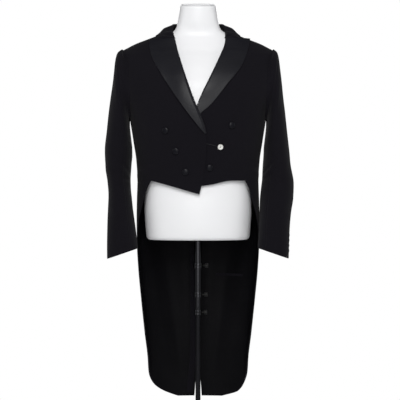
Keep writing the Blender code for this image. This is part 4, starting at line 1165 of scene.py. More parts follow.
def make_skirts():
    for side, label in SIDES:
        near, far = tucked(skirt_front(side), pleat())
        cloth(f"wool_skirt_{label}", panel_places(near, far, side, "ft", heights=skirt_top),
              wool(), f"skirt_{label}", held="hung", rests_on=(f"wool_side_body_{label}",))


def make_tail_linings():
    for side, label in SIDES:
        shown = slice(1, 17)
        front = [(z, turn + 1.5) for z, turn in skirt_front(side)[shown]]
        vent = [(z, turn_at(VENT(z).gap + 0.004, z, back=True)) for z in SKIRT_HEIGHTS[shown]]
        fold = pleat()[shown]
        parts = [panel_places(front, fold, side, out=LINING_OUT),
                 panel_places(fold, vent, side, out=LINING_OUT)]
        rows = min(len(part) for part in parts)
        picked = [[part[round(i * (len(part) - 1) / (rows - 1))] for i in range(rows)]
                  for part in parts]
        table = [first[:-1] + second for first, second in zip(*picked)]
        cloth(f"silk_tail_lining_{label}", table, lining(), f"tail_lining_{label}",
              thickness=SATIN, slot="lining", held="hung", rests_on=(f"wool_skirt_{label}",),
              edge=0.0003)


def make_tail_trims():
    heights = [z + 0.006 for z in SKIRT_HEIGHTS[1:14]]
    out = LINING_OUT - SATIN - 0.0007
    near = [(z, turn_at(VENT(z).gap + 0.0245, z, back=True)) for z in heights]
    far = [(z, turn_at(VENT(z).gap + 0.0055, z, back=True)) for z in heights]
    cloth("wool_vent_facing_right", panel_places(near, far, -1, out=out), wool(),
          "vent_facing_right", thickness=SATIN, held="hung", edge=0.0003,
          rests_on=("silk_tail_lining_right",))
    near, far = [[(z, turn_at(x, z, back=True)) for z in (0.7655, 0.7735)]
                 for x in (0.140, 0.055)]
    cloth("wool_pocket_mouth_left", panel_places(near, far, 1, out=out), wool(),
          "pocket_mouth_left", thickness=SATIN, held="hung", edge=0.0003,
          rests_on=("silk_tail_lining_left",))


# ---- lapels and collar --------------------------------------------------------------------
FOLD_STEPS = 10
ROLL_RISE = 0.0055         # how far a lapel's roll stands off, and how wide the roll is
ROLL_WIDTH = 0.030


def lapel_places(side):
    """A lapel's leaf with the round fold at its roll line, from the break to the gorge."""
    roll, edge = (RIGHT_FRONT, RIGHT_LAPEL) if side < 0 else (LEFT_FRONT, LEFT_LAPEL)
    lift = lapel_lift(side)
    step = settings("coat").mesh_step * 0.75
    top = edge.keys[-1]
    heights = [(mix(1.193, GORGE - 0.001, r), mix(1.193, top, r)) for r in spread(0, 1, 96)]

    def leaf_point(low, high, start, end, u, fall):
        height = mix(low, high, u)
        turn = turn_around(height, mix(around(low, start), around(high, end), u))
        raised = lift(height, envelope(height, side * turn).x)
        return draped(height, side * turn, 2 * CLOTH + LAPEL_GAP + 0.0002 + raised + fall)

    table = []
    for low, high in heights:
        outside = side * turn_at(edge(high).x, high)
        whole = side * turn_at(roll(low).x, low)
        breadth = math.radians(abs(outside - whole)) * 0.125
        belly = smooth(low, *((BREAK_POINT, 1.215) if side < 0 else (1.288, 1.33)))
        belly *= 1 - 0.5 * smooth(low, 1.27, 1.42)
        out = 2 * CLOTH + LAPEL_GAP + lift(low, envelope(low, side * whole).x)
        rise = min(ROLL_RISE * belly, breadth * 0.14)
        radius = min((out + rise) / 2, max(breadth * 0.45, 0.0008))
        inset = math.copysign(math.degrees(radius / 0.125), outside - whole)
        start = whole + inset
        crest = draped(low, side * start, out + rise)
        deep = draped(low, side * start, out + rise - 2 * radius)
        normal = (crest - deep).normalized()
        ahead = draped(low, side * (start - inset * 0.2), out) - draped(low, side * start, out)
        beyond = (ahead - normal * ahead.dot(normal)).normalized()
        centre = (crest + deep) / 2
        line = []
        for angle in spread(-math.pi / 2, math.pi / 2, FOLD_STEPS)[:-1]:
            line.append(centre + normal * radius * math.sin(angle)
                        + beyond * radius * math.cos(angle))
        reach = max((breadth - radius), 0.0005)
        count = max(round(0.14 / step), 8)
        for u in [k / count for k in range(count - 3)] + [1 - 0.9 / count, 1 - 0.4 / count,
                                                          1 - 0.12 / count, 1.0]:
            fall = rise * math.exp(-(u * reach / ROLL_WIDTH) ** 2)
            line.append(leaf_point(low, high, start, outside, u, fall))
        table.append(line)
    return eased(table, 7)


def eased(table, reach):
    """The places with their depth averaged along the piece, so that no line shows in the gloss."""
    rows = len(table)
    weights = [math.exp(-(2 * k / reach) ** 2) for k in range(-reach, reach + 1)]
    for j in range(len(table[0])):
        depths = [line[j].y for line in table]
        for i, line in enumerate(table):
            span = min(reach, i, rows - 1 - i)
            near = range(-span, span + 1)
            total = sum(weights[k + reach] for k in near)
            line[j] = line[j].copy()
            line[j].y = sum(weights[k + reach] * depths[i + k] for k in near) / total
    return table


def make_lapels():
    for side, label in SIDES:
        cloth(f"silk_lapel_{label}", lapel_places(side), silk(), f"lapel_{label}",
              thickness=0.0013, slot="satin", rests_on=(f"wool_forepart_{label}",), edge=0.0005,
              away=lambda place: Vector((0, -1, 0)))


def rounded_line(points, steps):
    """Points along a smooth curve through the given ones."""
    names = "key x y z"
    table = Table(names, *[(i, *point) for i, point in enumerate(points)])
    return [Vector(table(i)[1:]) for i in steps]


def gorge_rows(side, steps):
    """The collar's front end, laid over the lapel's top edge so that they run together."""
    first = rounded_line(collar_section(0, side), steps)
    top = lapel_places(side)[-1][FOLD_STEPS // 2:]
    leaf = Table("far x y z", *[((p.x - top[0].x) / (top[-1].x - top[0].x), *p) for p in top])
    laid = []
    for step, place in zip(steps, first):
        along = (step - 3) / 4
        if along < 0:
            drop = 0.004 * step / 3
            laid.append(place + Vector((0, -0.0012 * step / 3, -drop)))
        else:
            laid.append(Vector(leaf(along)[1:]) + Vector((0, -0.0010, -0.004)))
    return [[mix(low, high, smooth(r, -0.3, 1)) for low, high in zip(laid, first)]
            for r in spread(0, 0.8, 5)]


def make_collar():
    """One strip round the neck: the stand, the fold and the fall."""
    half = spread(0, 1, 56)
    stations = [(-1, a) for a in half] + [(1, a) for a in reversed(half[:-1])]
    steps = spread(0, 7, 42)
    table = [rounded_line(collar_section(along, side), steps) for side, along in stations]
    table = gorge_rows(-1, steps) + table + gorge_rows(1, steps)[::-1]

    def away(place):
        return Vector((place.x, place.y, 0.1))

    cloth("wool_collar", table, wool(), "collar", away=away, thickness=0.0020, offset=0.0,
          rests_on=("wool_back_left", "wool_back_right"))


# ---- sleeves ------------------------------------------------------------------------------
# Soft creases of the sleeves, as (angle, ring) from their start to their end.
SLEEVE_CREASES = {1: [Crease(*row) for row in (
    ((70, 8.4), (165, 9.4), 0.009, -0.0026),
    ((60, 9.6), (170, 10.1), 0.008, -0.0030),
    ((66, 9.0), (160, 9.75), 0.008, 0.0014),
    ((70, 10.9), (165, 10.6), 0.009, -0.0024),
    ((-60, 9.2), (20, 9.9), 0.014, -0.0014),
    ((40, 2.2), (110, 4.6), 0.013, -0.0022),
    ((20, 3.6), (96, 6.0), 0.014, 0.0012),
    ((300, 2.4), (240, 4.8), 0.013, -0.0020),
    ((20, 12.2), (80, 13.6), 0.014, -0.0012),
)], -1: [Crease(*row) for row in (
    ((66, 8.6), (165, 9.2), 0.009, -0.0026),
    ((58, 9.9), (168, 10.2), 0.008, -0.0028),
    ((64, 9.3), (160, 9.7), 0.008, 0.0014),
    ((72, 11.2), (160, 10.8), 0.010, -0.0022),
    ((-50, 9.6), (24, 10.0), 0.015, -0.0014),
    ((44, 2.0), (112, 4.4), 0.012, -0.0022),
    ((16, 3.4), (90, 5.8), 0.014, 0.0012),
    ((300, 2.2), (238, 5.0), 0.013, -0.0020),
    ((14, 12.6), (76, 13.8), 0.014, -0.0012),
)]}
SLEEVE_SCALE = (0.00108, 0.040)    # metres for one degree, and for one ring
SLEEVE_LINES = {side: metres(rows, SLEEVE_SCALE) for side, rows in SLEEVE_CREASES.items()}
SLEEVE_TABLES = {side: Table("ring " + SLEEVE_COLUMNS, *[(i + 1, *row)
                                                      for i, row in enumerate(rings)])
                 for side, rings in ((-1, SLEEVE_RIGHT), (1, SLEEVE_LEFT))}


HEAD_FALL = 0.0030         # how far the sleeve heads sink between the armhole and the first ring
SLEEVE_TUCK = 0.0022       # how far a sleeve's sewn edge runs under the armhole's edge


@lru_cache(None)
def rim_place(side, turn):
    return armhole_rim(side, turn)


def smooth_sleeve_point(side, ring, angle):
    turn = math.radians(angle)
    if ring < 1:
        head = mix(rim_place(side, round(turn % (2 * math.pi), 5)),
                   smooth_sleeve_point(side, 1.0, angle), ring)
        head.x -= side * SLEEVE_TUCK * (1 - smooth(ring, 0.0, 0.10))
        fall = HEAD_FALL * max(math.cos(turn), 0) ** 2
        return head + Vector((side * 0.0008, 0, -fall)) * math.sin(math.pi * ring)
    row = SleeveRing(*SLEEVE_TABLES[side](ring)[1:])
    inner = Vector((row.inner_x, row.middle, row.inner_z))
    outer = Vector((row.outer_x, row.middle, row.outer_z))
    across, ahead = math.cos(turn), math.sin(turn)
    power = SLEEVE_ROUNDNESS
    reach = (abs(across) ** power + abs(ahead) ** power) ** (-1 / power)
    point = (inner + outer) / 2 + (outer - inner) / 2 * across * reach
    point.y -= row.half_depth * ahead * reach
    point.x *= side
    return point


def sleeve_surface(side, ring, angle, out=0.0):
    """A point of a sleeve with its creases, moved out along its normal."""
    last = len(SLEEVE_RIGHT)
    depth = crease_depth(SLEEVE_LINES[side], angle * SLEEVE_SCALE[0], ring * SLEEVE_SCALE[1])
    depth += crease_depth(SLEEVE_LINES[side], (angle - 360) * SLEEVE_SCALE[0],
                          ring * SLEEVE_SCALE[1]) if angle > 180 else 0
    depth = depth * settings("coat").creases + out
    point = smooth_sleeve_point(side, ring, angle)
    if abs(depth) < 1e-6:
        return point
    low, high = max(ring - 0.2, 0), min(ring + 0.2, last)
    along = smooth_sleeve_point(side, high, angle) - smooth_sleeve_point(side, low, angle)
    girth = smooth_sleeve_point(side, ring, angle + 2) - smooth_sleeve_point(side, ring, angle - 2)
    return point + (girth.cross(along) * side).normalized() * depth


def make_sleeves():
    step = settings("coat").mesh_step
    for side, label in SIDES:
        table = SLEEVE_TABLES[side]
        for piece in ("top", "under"):
            rings = edge_spread(16 * SLEEVE_SCALE[1], step)
            count = len(edge_spread(0.25 if piece == "top" else 0.20, step))
            places = []
            for climb in rings:
                ring = climb / SLEEVE_SCALE[1]
                seam = -table(max(ring, 1)).seam
                ends = (seam + 0.12, FOREARM_SEAM - 0.12)
                if piece == "under":
                    ends = (FOREARM_SEAM + 0.12, 360 + seam - 0.12)
                size = (ends[1] - ends[0]) * SLEEVE_SCALE[0]
                line = []
                for across in edge_spread_count(size, count):
                    angle = mix(*ends, across / size)
                    dip = seam_dip(across, size - across, climb + 0.0008)
                    line.append(sleeve_surface(side, ring, angle, dip))
                places.append(line)

            def away(place, side=side):
                return Vector((place.x - side * mix(0.233, 0.228, (1.45 - place.z) / 0.6),
                               place.y + 0.05 * smooth(place.z, 1.10, 0.86), 0))

            cloth(f"wool_{piece}_sleeve_{label}", places, wool(), f"{piece}_sleeve_{label}",
                  away=away, inside=lining(), held="hung",
                  rests_on=(f"wool_forepart_{label}", f"wool_back_{label}"))


# ---- buttons and cord ---------------------------------------------------------------------
def turned_piece(name, profile, material, body, slot, *nodes, place=None, normal=None, steps=None,
                 bevel=0.0, shape=None):
    """A piece turned about Z from (radius, height) pairs, then stood at its place."""
    work = bmesh.new()
    verts = [work.verts.new((radius, 0, height)) for radius, height in profile]
    if profile[0][0] > 0:
        verts.append(verts[0])
    edges = [work.edges.new(pair) for pair in zip(verts, verts[1:])]
    bmesh.ops.spin(work, geom=work.verts[:] + edges, cent=(0, 0, 0), axis=(0, 0, 1),
                   angle=2 * math.pi, steps=steps or settings("form").sides, use_merge=True)
    bmesh.ops.remove_doubles(work, verts=work.verts[:], dist=1e-6)
    bmesh.ops.recalc_face_normals(work, faces=work.faces[:])
    if work.calc_volume(signed=True) < 0:
        bmesh.ops.reverse_faces(work, faces=work.faces[:])
    if shape:
        for vert in work.verts:
            vert.co = shape(vert.co)
    if place is not None:
        bmesh.ops.transform(work, verts=work.verts[:], matrix=Matrix.Translation(place)
                            @ normal.to_track_quat("Z", "Y").to_matrix().to_4x4())
    item = finished(name, work, [material], body, slot, *nodes)
    item.data.set_sharp_from_angle(angle=math.radians(40))
    if bevel:
        round_over(item, bevel, 38, 3)
    return item


def on_forepart(x, height, raised):
    """A place on a forepart's outer face, and the direction away from it."""
    turn = turn_at(x, height)
    base = draped(height, turn, CLOTH + raised)
    return base, (draped(height, turn, CLOTH + raised + 0.01) - base).normalized()


# Silk pulled over a dome and gathered under it, as (radius, height) for a radius of 1.
COVERED = ((0.0, 0.0), (0.45, 0.0), (0.45, 0.12), (0.88, 0.13), (0.965, 0.17), (1.0, 0.25),
           (0.985, 0.33), (0.93, 0.40), (0.82, 0.465), (0.66, 0.52), (0.45, 0.555),
           (0.22, 0.575), (0.0, 0.58))
LINK_SHAPE = ((0.0, 0.0), (0.36, 0.0), (0.36, 0.26), (0.86, 0.27), (0.95, 0.30), (1.0, 0.37),
              (0.985, 0.45), (0.90, 0.52), (0.78, 0.53), (0.70, 0.47), (0.60, 0.43), (0.0, 0.42))
FrontButton = namedtuple("FrontButton", "name x height")
FRONT_BUTTONS = [FrontButton(*row) for row in (
    ("front_button_right_upper", -0.0936, 1.2016),
    ("front_button_right_middle", -0.0634, 1.1425),
    ("front_button_right_lower", -0.0359, 1.0820),
    ("front_button_left_upper", 0.0979, 1.2167),
    ("front_button_left_lower", 0.0340, 1.0939))]
LINK_PLACE = (0.0646, 1.1541)


def gathered(radius):
    """Faint gathers of the silk round a covered button's rim."""
    def shape(place):
        reach = Vector((place.x, place.y)).length / radius
        angle = math.atan2(place.y, place.x)
        swell = 1 + 0.010 * math.sin(17 * angle) * smooth(reach, 0.80, 1.0)
        return Vector((place.x * swell, place.y * swell, place.z))
    return shape


def covered_button(name, radius, place, normal):
    turned_piece(f"silk_{name}", [(r * radius, h * radius) for r, h in COVERED], button_silk(),
                 "dressed_form", "satin", name, place=place + normal * SEAM_GAP, normal=normal,
                 steps=51, shape=gathered(radius))


def make_front_buttons():
    for name, x, height in FRONT_BUTTONS:
        place, normal = on_forepart(x, height, right_lift(height, x) if x < 0 else 0.0)
        covered_button(name, FRONT_BUTTON, place, normal)


def make_link():
    """The white button, its sewing, and the cord that links the fronts over it."""
    place, normal = on_forepart(*LINK_PLACE, 0.0)
    foot = place + normal * SEAM_GAP
    turned_piece("pearl_link_button", [(r * LINK_BUTTON, h * LINK_BUTTON)
                                       for r, h in LINK_SHAPE], pearl(), "dressed_form",
                 "white_button", "link_button", place=foot, normal=normal, steps=56)
    face = foot + normal * 0.425 * LINK_BUTTON
    turn = normal.to_track_quat("Z", "Y")
    work = bmesh.new()
    for a, b in (((-1, -1), (1, 1)), ((-1, 1), (1, -1))):
        ends = [turn @ Vector((0.0013 * x, 0.0013 * y, 0)) for x, y in (a, b)]
        middle = face + normal * (0.0004 if a == (-1, -1) else 0.0009)
        stitch(work, [face + ends[0], middle + ends[0] * 0.6, middle + ends[1] * 0.6,
                      face + ends[1]], 0.00042)
    item = finished("thread_link_button", work, [thread()], "dressed_form", "wool")
    item.data.set_sharp_from_angle(angle=math.radians(60))
    radius = 0.0009
    route = []
    for t in spread(0, 1, 18):
        x = mix(0.010, LINK_PLACE[0] - 0.36 * LINK_BUTTON - radius - SEAM_GAP, t)
        height = mix(1.1655, LINK_PLACE[1], t) + 0.0012 * math.sin(math.pi * t)
        route.append(on_forepart(x, height, radius + SEAM_GAP)[0])
    cord = bpy.data.curves.new("braid_link_cord", "CURVE")
    cord.dimensions, cord.bevel_depth, cord.bevel_resolution = "3D", radius, 3
    cord.use_fill_caps = True
    line = cord.splines.new("POLY")
    line.points.add(len(route) - 1)
    for point, stop in zip(line.points, route):
        point.co = (*stop, 1)
    cord.materials.append(thread())
    item = bpy.data.objects.new("braid_link_cord", cord)
    bpy.context.scene.collection.objects.link(item)
    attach(item, "dressed_form")
    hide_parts("link_cord")
    size = sum((b - a).length for a, b in zip(route, route[1:]))


def stitch(work, route, radius):
    """A round thread along a route, closed at its ends."""
    made = bmesh.ops.create_circle(work, cap_ends=True, radius=radius, segments=8)
    ring = made["verts"]
    ahead = (route[1] - route[0]).normalized()
    bmesh.ops.transform(work, verts=ring, matrix=Matrix.Translation(route[0])
                        @ ahead.to_track_quat("Z", "Y").to_matrix().to_4x4())
    face = next(f for f in work.faces if set(f.verts) == set(ring))
    for start, end in zip(route, route[1:]):
        made = bmesh.ops.extrude_face_region(work, geom=[face])
        moved = [v for v in made["geom"] if isinstance(v, bmesh.types.BMVert)]
        face = next(f for f in made["geom"] if isinstance(f, bmesh.types.BMFace))
        bmesh.ops.translate(work, verts=moved, vec=end - start)
    bmesh.ops.recalc_face_normals(work, faces=work.faces[:])


CUFF_FIRST, CUFF_STEP = 0.45, 0.335    # rings from the cuff's edge, and from button to button
CUFF_TURN = 9              # degrees round from the sleeve's seam
WAIST_BUTTON = 1.052       # height of the buttons at the back of the waist


def make_cuff_buttons():
    for (side, label), rings in zip(SIDES, (SLEEVE_RIGHT, SLEEVE_LEFT)):
        for number in range(4):
            ring = len(rings) - CUFF_FIRST - number * CUFF_STEP
            angle = CUFF_TURN - rings[-1].seam
            place = sleeve_surface(side, ring, angle)
            normal = (sleeve_surface(side, ring, angle, 0.01) - place).normalized()
            covered_button(f"cuff_button_{label}_{number + 1}", CUFF_BUTTON, place, normal)


def make_waist_buttons():
    for side, label in SIDES:
        turn = side * turn_at(BACK_SEAM(WAIST_BUTTON).x - 0.011, WAIST_BUTTON, back=True)
        base = draped(WAIST_BUTTON, turn, CLOTH)
        normal = (draped(WAIST_BUTTON, turn, CLOTH + 0.01) - base).normalized()
        covered_button(f"waist_button_{label}", FRONT_BUTTON, base + normal * 0.0012, normal)


# ---- the dress form and its stand ---------------------------------------------------------
SLEEVE_BORE = SLEEVE_RADIUS + 0.0005


def form_point(height, turn, inset=0.0):
    section = FORM(height)
    angle = math.radians(turn)
    depth = section.front if math.cos(angle) > 0 else section.back
    polar = math.atan2(math.sin(angle) * section.half_width, math.cos(angle) * depth)
    point = section_point(section, height, math.degrees(polar))
    shrink = 1 - inset / section.half_width
    flat = Vector((point.x * shrink, section.middle + (point.y - section.middle) * shrink, height))
    flat.z += NECK_TILT * (flat.y - section.middle) * smooth(height, 1.535, NECK_TOP)
    return flat


def wrapped(name, table, materials, slot, *nodes):
    """A closed skin through rings of places; a ring that is one point closes an end."""
    work, grid = grid_mesh(len(table), len(table[0]))
    for line, places in zip(grid, table):
        for vert, place in zip(line, places):
            vert.co = place
    bmesh.ops.remove_doubles(work, verts=work.verts[:], dist=2e-6)
    bmesh.ops.recalc_face_normals(work, faces=work.faces[:])
    if work.calc_volume(signed=True) < 0:
        bmesh.ops.reverse_faces(work, faces=work.faces[:])
    return finished(name, work, materials, "dressed_form", slot, *nodes)


def make_form():
    """The torso with its bore, and the plate on its neck."""
    turns = spread(0, 360, 128)
    bore = [[Vector((SLEEVE_BORE * math.sin(math.radians(t)),
                     -SLEEVE_BORE * math.cos(math.radians(t)), z)) for t in turns]
            for z in (BORE_TOP, FORM_BOTTOM + 0.0006)]
    tip = [Vector((0, 0, BORE_TOP))] * len(turns)
    under = [[mix(Vector((SLEEVE_BORE * math.sin(math.radians(t)),
                          -SLEEVE_BORE * math.cos(math.radians(t)), FORM_BOTTOM)),
                  form_point(FORM_BOTTOM, t, FORM_EDGE), u) for t in turns]
             for u in (0.03, 0.25, 0.5, 0.75, 0.97)]
    lower = [[form_point(FORM_BOTTOM + FORM_EDGE * (1 - math.cos(a)), t,
                         FORM_EDGE * (1 - math.sin(a))) for t in turns]
             for a in spread(0, math.pi / 2, 6)]
    sides = [[form_point(z, t) for t in turns]
             for z in spread(FORM_BOTTOM + FORM_EDGE + 0.006, 1.577, 110)]
    crown = [[form_point(NECK_TOP, t, inset) for t in turns]
             for inset in (0.0012, 0.003, 0.006, 0.030, 0.052)]
    centre = [form_point(NECK_TOP, 0, 0.0529)] * len(turns)
    wrapped("form_shell", [tip] + bore + under + lower + sides + crown + [centre],
            [gloss_shell()], "white_form", "form_torso")
    up = Vector((0, -NECK_TILT, 1)).normalized()
    rings = [(0.0005, 0.030), (0.0004, 0.0048), (0.0008, 0.0038), (0.0020, 0.0032),
             (0.0034, 0.0036), (0.0041, 0.0052), (0.0042, 0.0090), (0.0042, 0.030)]
    middle = [[form_point(NECK_TOP, 0, 0.0529) + up * rise] * len(turns)
              for rise in (0.0005, 0.0042)]
    cap = [[form_point(NECK_TOP, t, inset) + up * rise for t in turns] for rise, inset in rings]
    wrapped("form_neck_cap", [middle[0]] + cap + [middle[1]], [gloss_shell()], "white_form",
            "neck_cap")


CLAMP_HEIGHT = 0.015
KNOB_SHAPE = ((0.0, 0.0), (0.0022, 0.0), (0.0022, 0.006), (0.0060, 0.0064), (0.0067, 0.0074),
              (0.0068, 0.0088), (0.0068, 0.0142), (0.0066, 0.0156), (0.0056, 0.0164),
              (0.0036, 0.0165), (0.0030, 0.0160), (0.0, 0.0158))


def fluted(place):
    """Finger grips round a thumb screw's head."""
    reach = Vector((place.x, place.y)).length
    grip = smooth(reach, 0.0050, 0.0066) * smooth(place.z, 0.0066, 0.0084)
    swell = 1 - 0.05 * grip * (0.5 + 0.5 * math.cos(10 * math.atan2(place.y, place.x)))
    return Vector((place.x * swell, place.y * swell, place.z))


def make_clamp(name, tube_radius, bottom, body):
    """A collar round a tube's lower end and the thumb screw in its side."""
    outer, inner, top = tube_radius + 0.0025, tube_radius + 0.0003, bottom + CLAMP_HEIGHT
    groove = outer - 0.0005
    turned_piece(f"clamp_{name}_collar",
                 [(outer, bottom), (outer, bottom + 0.0030), (groove, bottom + 0.0034),
                  (groove, bottom + 0.0042), (outer, bottom + 0.0046), (outer, top - 0.0030),
                  (groove, top - 0.0026), (groove, top - 0.0020), (outer, top - 0.0016),
                  (outer, top), (inner, top), (inner, bottom)],
                 plating(), body, "chrome", f"{name}_collar", bevel=0.0003)
    turned_piece(f"clamp_{name}_knob", KNOB_SHAPE, plastic(), body, "black_plastic",
                 f"{name}_knob", steps=60, shape=fluted,
                 place=Vector((outer + SEAM_GAP, 0, bottom + CLAMP_HEIGHT / 2)),
                 normal=Vector((1, 0, 0)))


def make_tubes():
    def tube(name, outer, inner, low, high, material, body, slot, node, bevel=0.0004):
        turned_piece(name, [(outer, low), (outer, high), (inner, high), (inner, low)], material,
                     body, slot, node, bevel=bevel)

    floor = BASE_THICKNESS + SEAM_GAP
    tube("stand_middle_tube", MID_RADIUS, ROD_RADIUS + SLIDE_FIT, MID_BOTTOM, MID_TOP, plating(),
         "mast_middle_body", "chrome", "mast_middle")
    tube("stand_upper_tube", UPPER_RADIUS, MID_RADIUS + SLIDE_FIT, UPPER_BOTTOM, UPPER_TOP,
         plating(), "mast_upper_body", "chrome", "mast_upper")
    tube("form_socket_tube", SLEEVE_RADIUS, UPPER_RADIUS + SLIDE_FIT, SLEEVE_BOTTOM, SLEEVE_TOP,
         plating(), "dressed_form", "chrome", "form_sleeve")
    tube("form_flange_plate", 0.030, SLEEVE_RADIUS + SEAM_GAP, FORM_BOTTOM - 0.0043,
         FORM_BOTTOM - SEAM_GAP, plastic(), "dressed_form", "black_plastic", "form_flange", 0.001)
    turned_piece("stand_rod", [(0.0, floor), (ROD_RADIUS, floor), (ROD_RADIUS, ROD_TOP),
                               (0.0, ROD_TOP)], dark_steel(), "stand", "dark_steel", "mast_rod",
                 bevel=0.001)


def make_base():
    floor = BASE_THICKNESS + SEAM_GAP
    turned_piece("stand_base", [(0.0, 0.0), (BASE_RADIUS, 0.0), (BASE_RADIUS, BASE_THICKNESS),
                                (0.0, BASE_THICKNESS)], powder_coat(), "stand", "dark_steel",
                 "base_plate", steps=128, bevel=0.0028)
    turned_piece("stand_socket",
                 [(0.016, floor), (0.016, floor + 0.005), (0.0128, floor + 0.009),
                  (0.0122, floor + 0.034), (0.0132, floor + 0.037), (0.0132, floor + 0.040),
                  (ROD_RADIUS + SEAM_GAP, floor + 0.040), (ROD_RADIUS + SEAM_GAP, floor)],
                 powder_coat(), "stand", "dark_steel", "base_socket", bevel=0.0005)


# ---- the stage ----------------------------------------------------------------------------
def lamp(name, power, width, height, place, aim):
    data = bpy.data.lights.new(name, "AREA")
    data.energy, data.shape, data.size, data.size_y = power, "RECTANGLE", width, height
    item = bpy.data.objects.new(name, data)
    item.location = place
    item.rotation_euler = (Vector(aim) - Vector(place)).to_track_quat("-Z", "Y").to_euler()
    bpy.context.scene.collection.objects.link(item)


def make_stage():
    stage = settings("stage")
    data = bpy.data.cameras.new("camera")
    data.sensor_width, data.lens = 36.0, stage.focal
    item = bpy.data.objects.new("camera", data)
    item.location = (stage.shift, -stage.distance, stage.height)
    item.rotation_euler = (math.pi / 2, 0, 0)
    bpy.context.scene.collection.objects.link(item)
    bpy.context.scene.camera = item

    floor = Finish("floor_paint", roughness=0.7, specular_ior_level=0.2)
    floor.tint((0.86, 0.86, 0.86), (0.90, 0.90, 0.90), floor.grain(3.0, 3.0))
    work = bmesh.new()
    bmesh.ops.create_circle(work, cap_ends=True, radius=stage.floor, segments=96)
    bmesh.ops.translate(work, verts=work.verts[:], vec=(0, 0, -0.0005))
    mesh = bpy.data.meshes.new("floor")
    work.to_mesh(mesh)
    work.free()
    mesh.materials.append(floor.material)
    item = bpy.data.objects.new("floor", mesh)
    bpy.context.scene.collection.objects.link(item)

    bpy.context.scene.view_settings.view_transform = "Standard"
    world = bpy.data.worlds.new("surround")
    bpy.context.scene.world = world
    world.use_nodes = True
    nodes, links = world.node_tree.nodes, world.node_tree.links
    seen, light = nodes["Background"], nodes.new("ShaderNodeBackground")
    seen.inputs[0].default_value = (1, 1, 1, 1)
    seen.inputs[1].default_value = stage.surround
    light.inputs[0].default_value = (0.96, 0.98, 1.0, 1)
    light.inputs[1].default_value = stage.fill
    sky, axes = nodes.new("ShaderNodeTexCoord"), nodes.new("ShaderNodeSeparateXYZ")
    dusk = nodes.new("ShaderNodeMapRange")
    links.new(sky.outputs["Generated"], axes.inputs[0])
    links.new(axes.outputs["Z"], dusk.inputs["Value"])
    for name, value in (("From Min", 0.0), ("From Max", 0.9), ("To Min", stage.fill),
                        ("To Max", stage.fill * 0.35)):
        dusk.inputs[name].default_value = value
    links.new(dusk.outputs[0], light.inputs[1])
    path, both = nodes.new("ShaderNodeLightPath"), nodes.new("ShaderNodeMixShader")
    links.new(path.outputs["Is Camera Ray"], both.inputs[0])
    links.new(light.outputs[0], both.inputs[1])
    links.new(seen.outputs[0], both.inputs[2])
    links.new(both.outputs[0], nodes["World Output"].inputs[0])

    lamp("key_lamp", stage.key_lamp, 1.3, 1.9, (0, -2.7, 2.6), (0, 0, 1.25))
    lamp("front_lamp", stage.front_lamp, 1.3, 1.6, (0, -3.3, 1.2), (0, 0, 1.15))
    lamp("back_lamp", stage.back_lamp, 2.0, 1.4, (0, 3.3, 1.7), (0, 0, 1.1))
    for side in (-1, 1):
        lamp(f"side_lamp_{side}", stage.side_lamp, 1.0, 1.6, (side * 2.6, -0.6, 1.8), (0, 0, 1.1))


# ---- operators ----------------------------------------------------------------------------
class TAILCOAT_OT_stage(bpy.types.Operator):
    """Put up the camera, the lamps, the surround and the floor"""
    bl_idname = "tailcoat.stage"
    bl_label = "Build Stage"

    def execute(self, context):
        make_stage()
        return {"FINISHED"}


class TAILCOAT_OT_form(bpy.types.Operator):
    """Build the form's shell and the plate on its neck"""
    bl_idname = "tailcoat.form"
    bl_label = "Build Dress Form"

    def execute(self, context):
        make_form()
        return {"FINISHED"}


class TAILCOAT_OT_stand(bpy.types.Operator):
    """Turn the base, the rod, the tubes and their clamps"""
    bl_idname = "tailcoat.stand"
    bl_label = "Build Stand"

    def execute(self, context):
        make_base()
        make_tubes()
        make_clamp("middle", MID_RADIUS, MID_BOTTOM, "mast_middle_body")
        make_clamp("upper", UPPER_RADIUS, UPPER_BOTTOM, "mast_upper_body")
        make_clamp("form", SLEEVE_RADIUS, SLEEVE_BOTTOM, "dressed_form")
        return {"FINISHED"}


class TAILCOAT_OT_foreparts(bpy.types.Operator):
    """Cut the two foreparts and lap the right over the left"""
    bl_idname = "tailcoat.foreparts"
    bl_label = "Cut Foreparts"

    def execute(self, context):
        make_foreparts()
        return {"FINISHED"}


class TAILCOAT_OT_side_bodies(bpy.types.Operator):
    """Cut the panels under the arms"""
    bl_idname = "tailcoat.side_bodies"
    bl_label = "Cut Side Bodies"

    def execute(self, context):
        make_side_bodies()
        return {"FINISHED"}


class TAILCOAT_OT_backs(bpy.types.Operator):
    """Cut the two backs with the tails that run down from them"""
    bl_idname = "tailcoat.backs"
    bl_label = "Cut Backs"

    def execute(self, context):
        make_backs()
        return {"FINISHED"}


class TAILCOAT_OT_skirts(bpy.types.Operator):
    """Cut the tails' outer parts"""
    bl_idname = "tailcoat.skirts"
    bl_label = "Cut Skirts"

    def execute(self, context):
        make_skirts()
        return {"FINISHED"}


class TAILCOAT_OT_tail_linings(bpy.types.Operator):
    """Line the tails, face the vent and add the pocket's mouth"""
    bl_idname = "tailcoat.tail_linings"
    bl_label = "Line Tails"

    def execute(self, context):
        make_tail_linings()
        make_tail_trims()
        return {"FINISHED"}


class TAILCOAT_OT_lapels(bpy.types.Operator):
    """Roll the silk lapels over the foreparts"""
    bl_idname = "tailcoat.lapels"
    bl_label = "Cut Lapels"

    def execute(self, context):
        make_lapels()
        return {"FINISHED"}


class TAILCOAT_OT_collar(bpy.types.Operator):
    """Fold the collar round the neck"""
    bl_idname = "tailcoat.collar"
    bl_label = "Cut Collar"

    def execute(self, context):
        make_collar()
        return {"FINISHED"}


class TAILCOAT_OT_sleeves(bpy.types.Operator):
    """Cut the top sleeves and the under sleeves"""
    bl_idname = "tailcoat.sleeves"
    bl_label = "Cut Sleeves"

    def execute(self, context):
        make_sleeves()
        return {"FINISHED"}


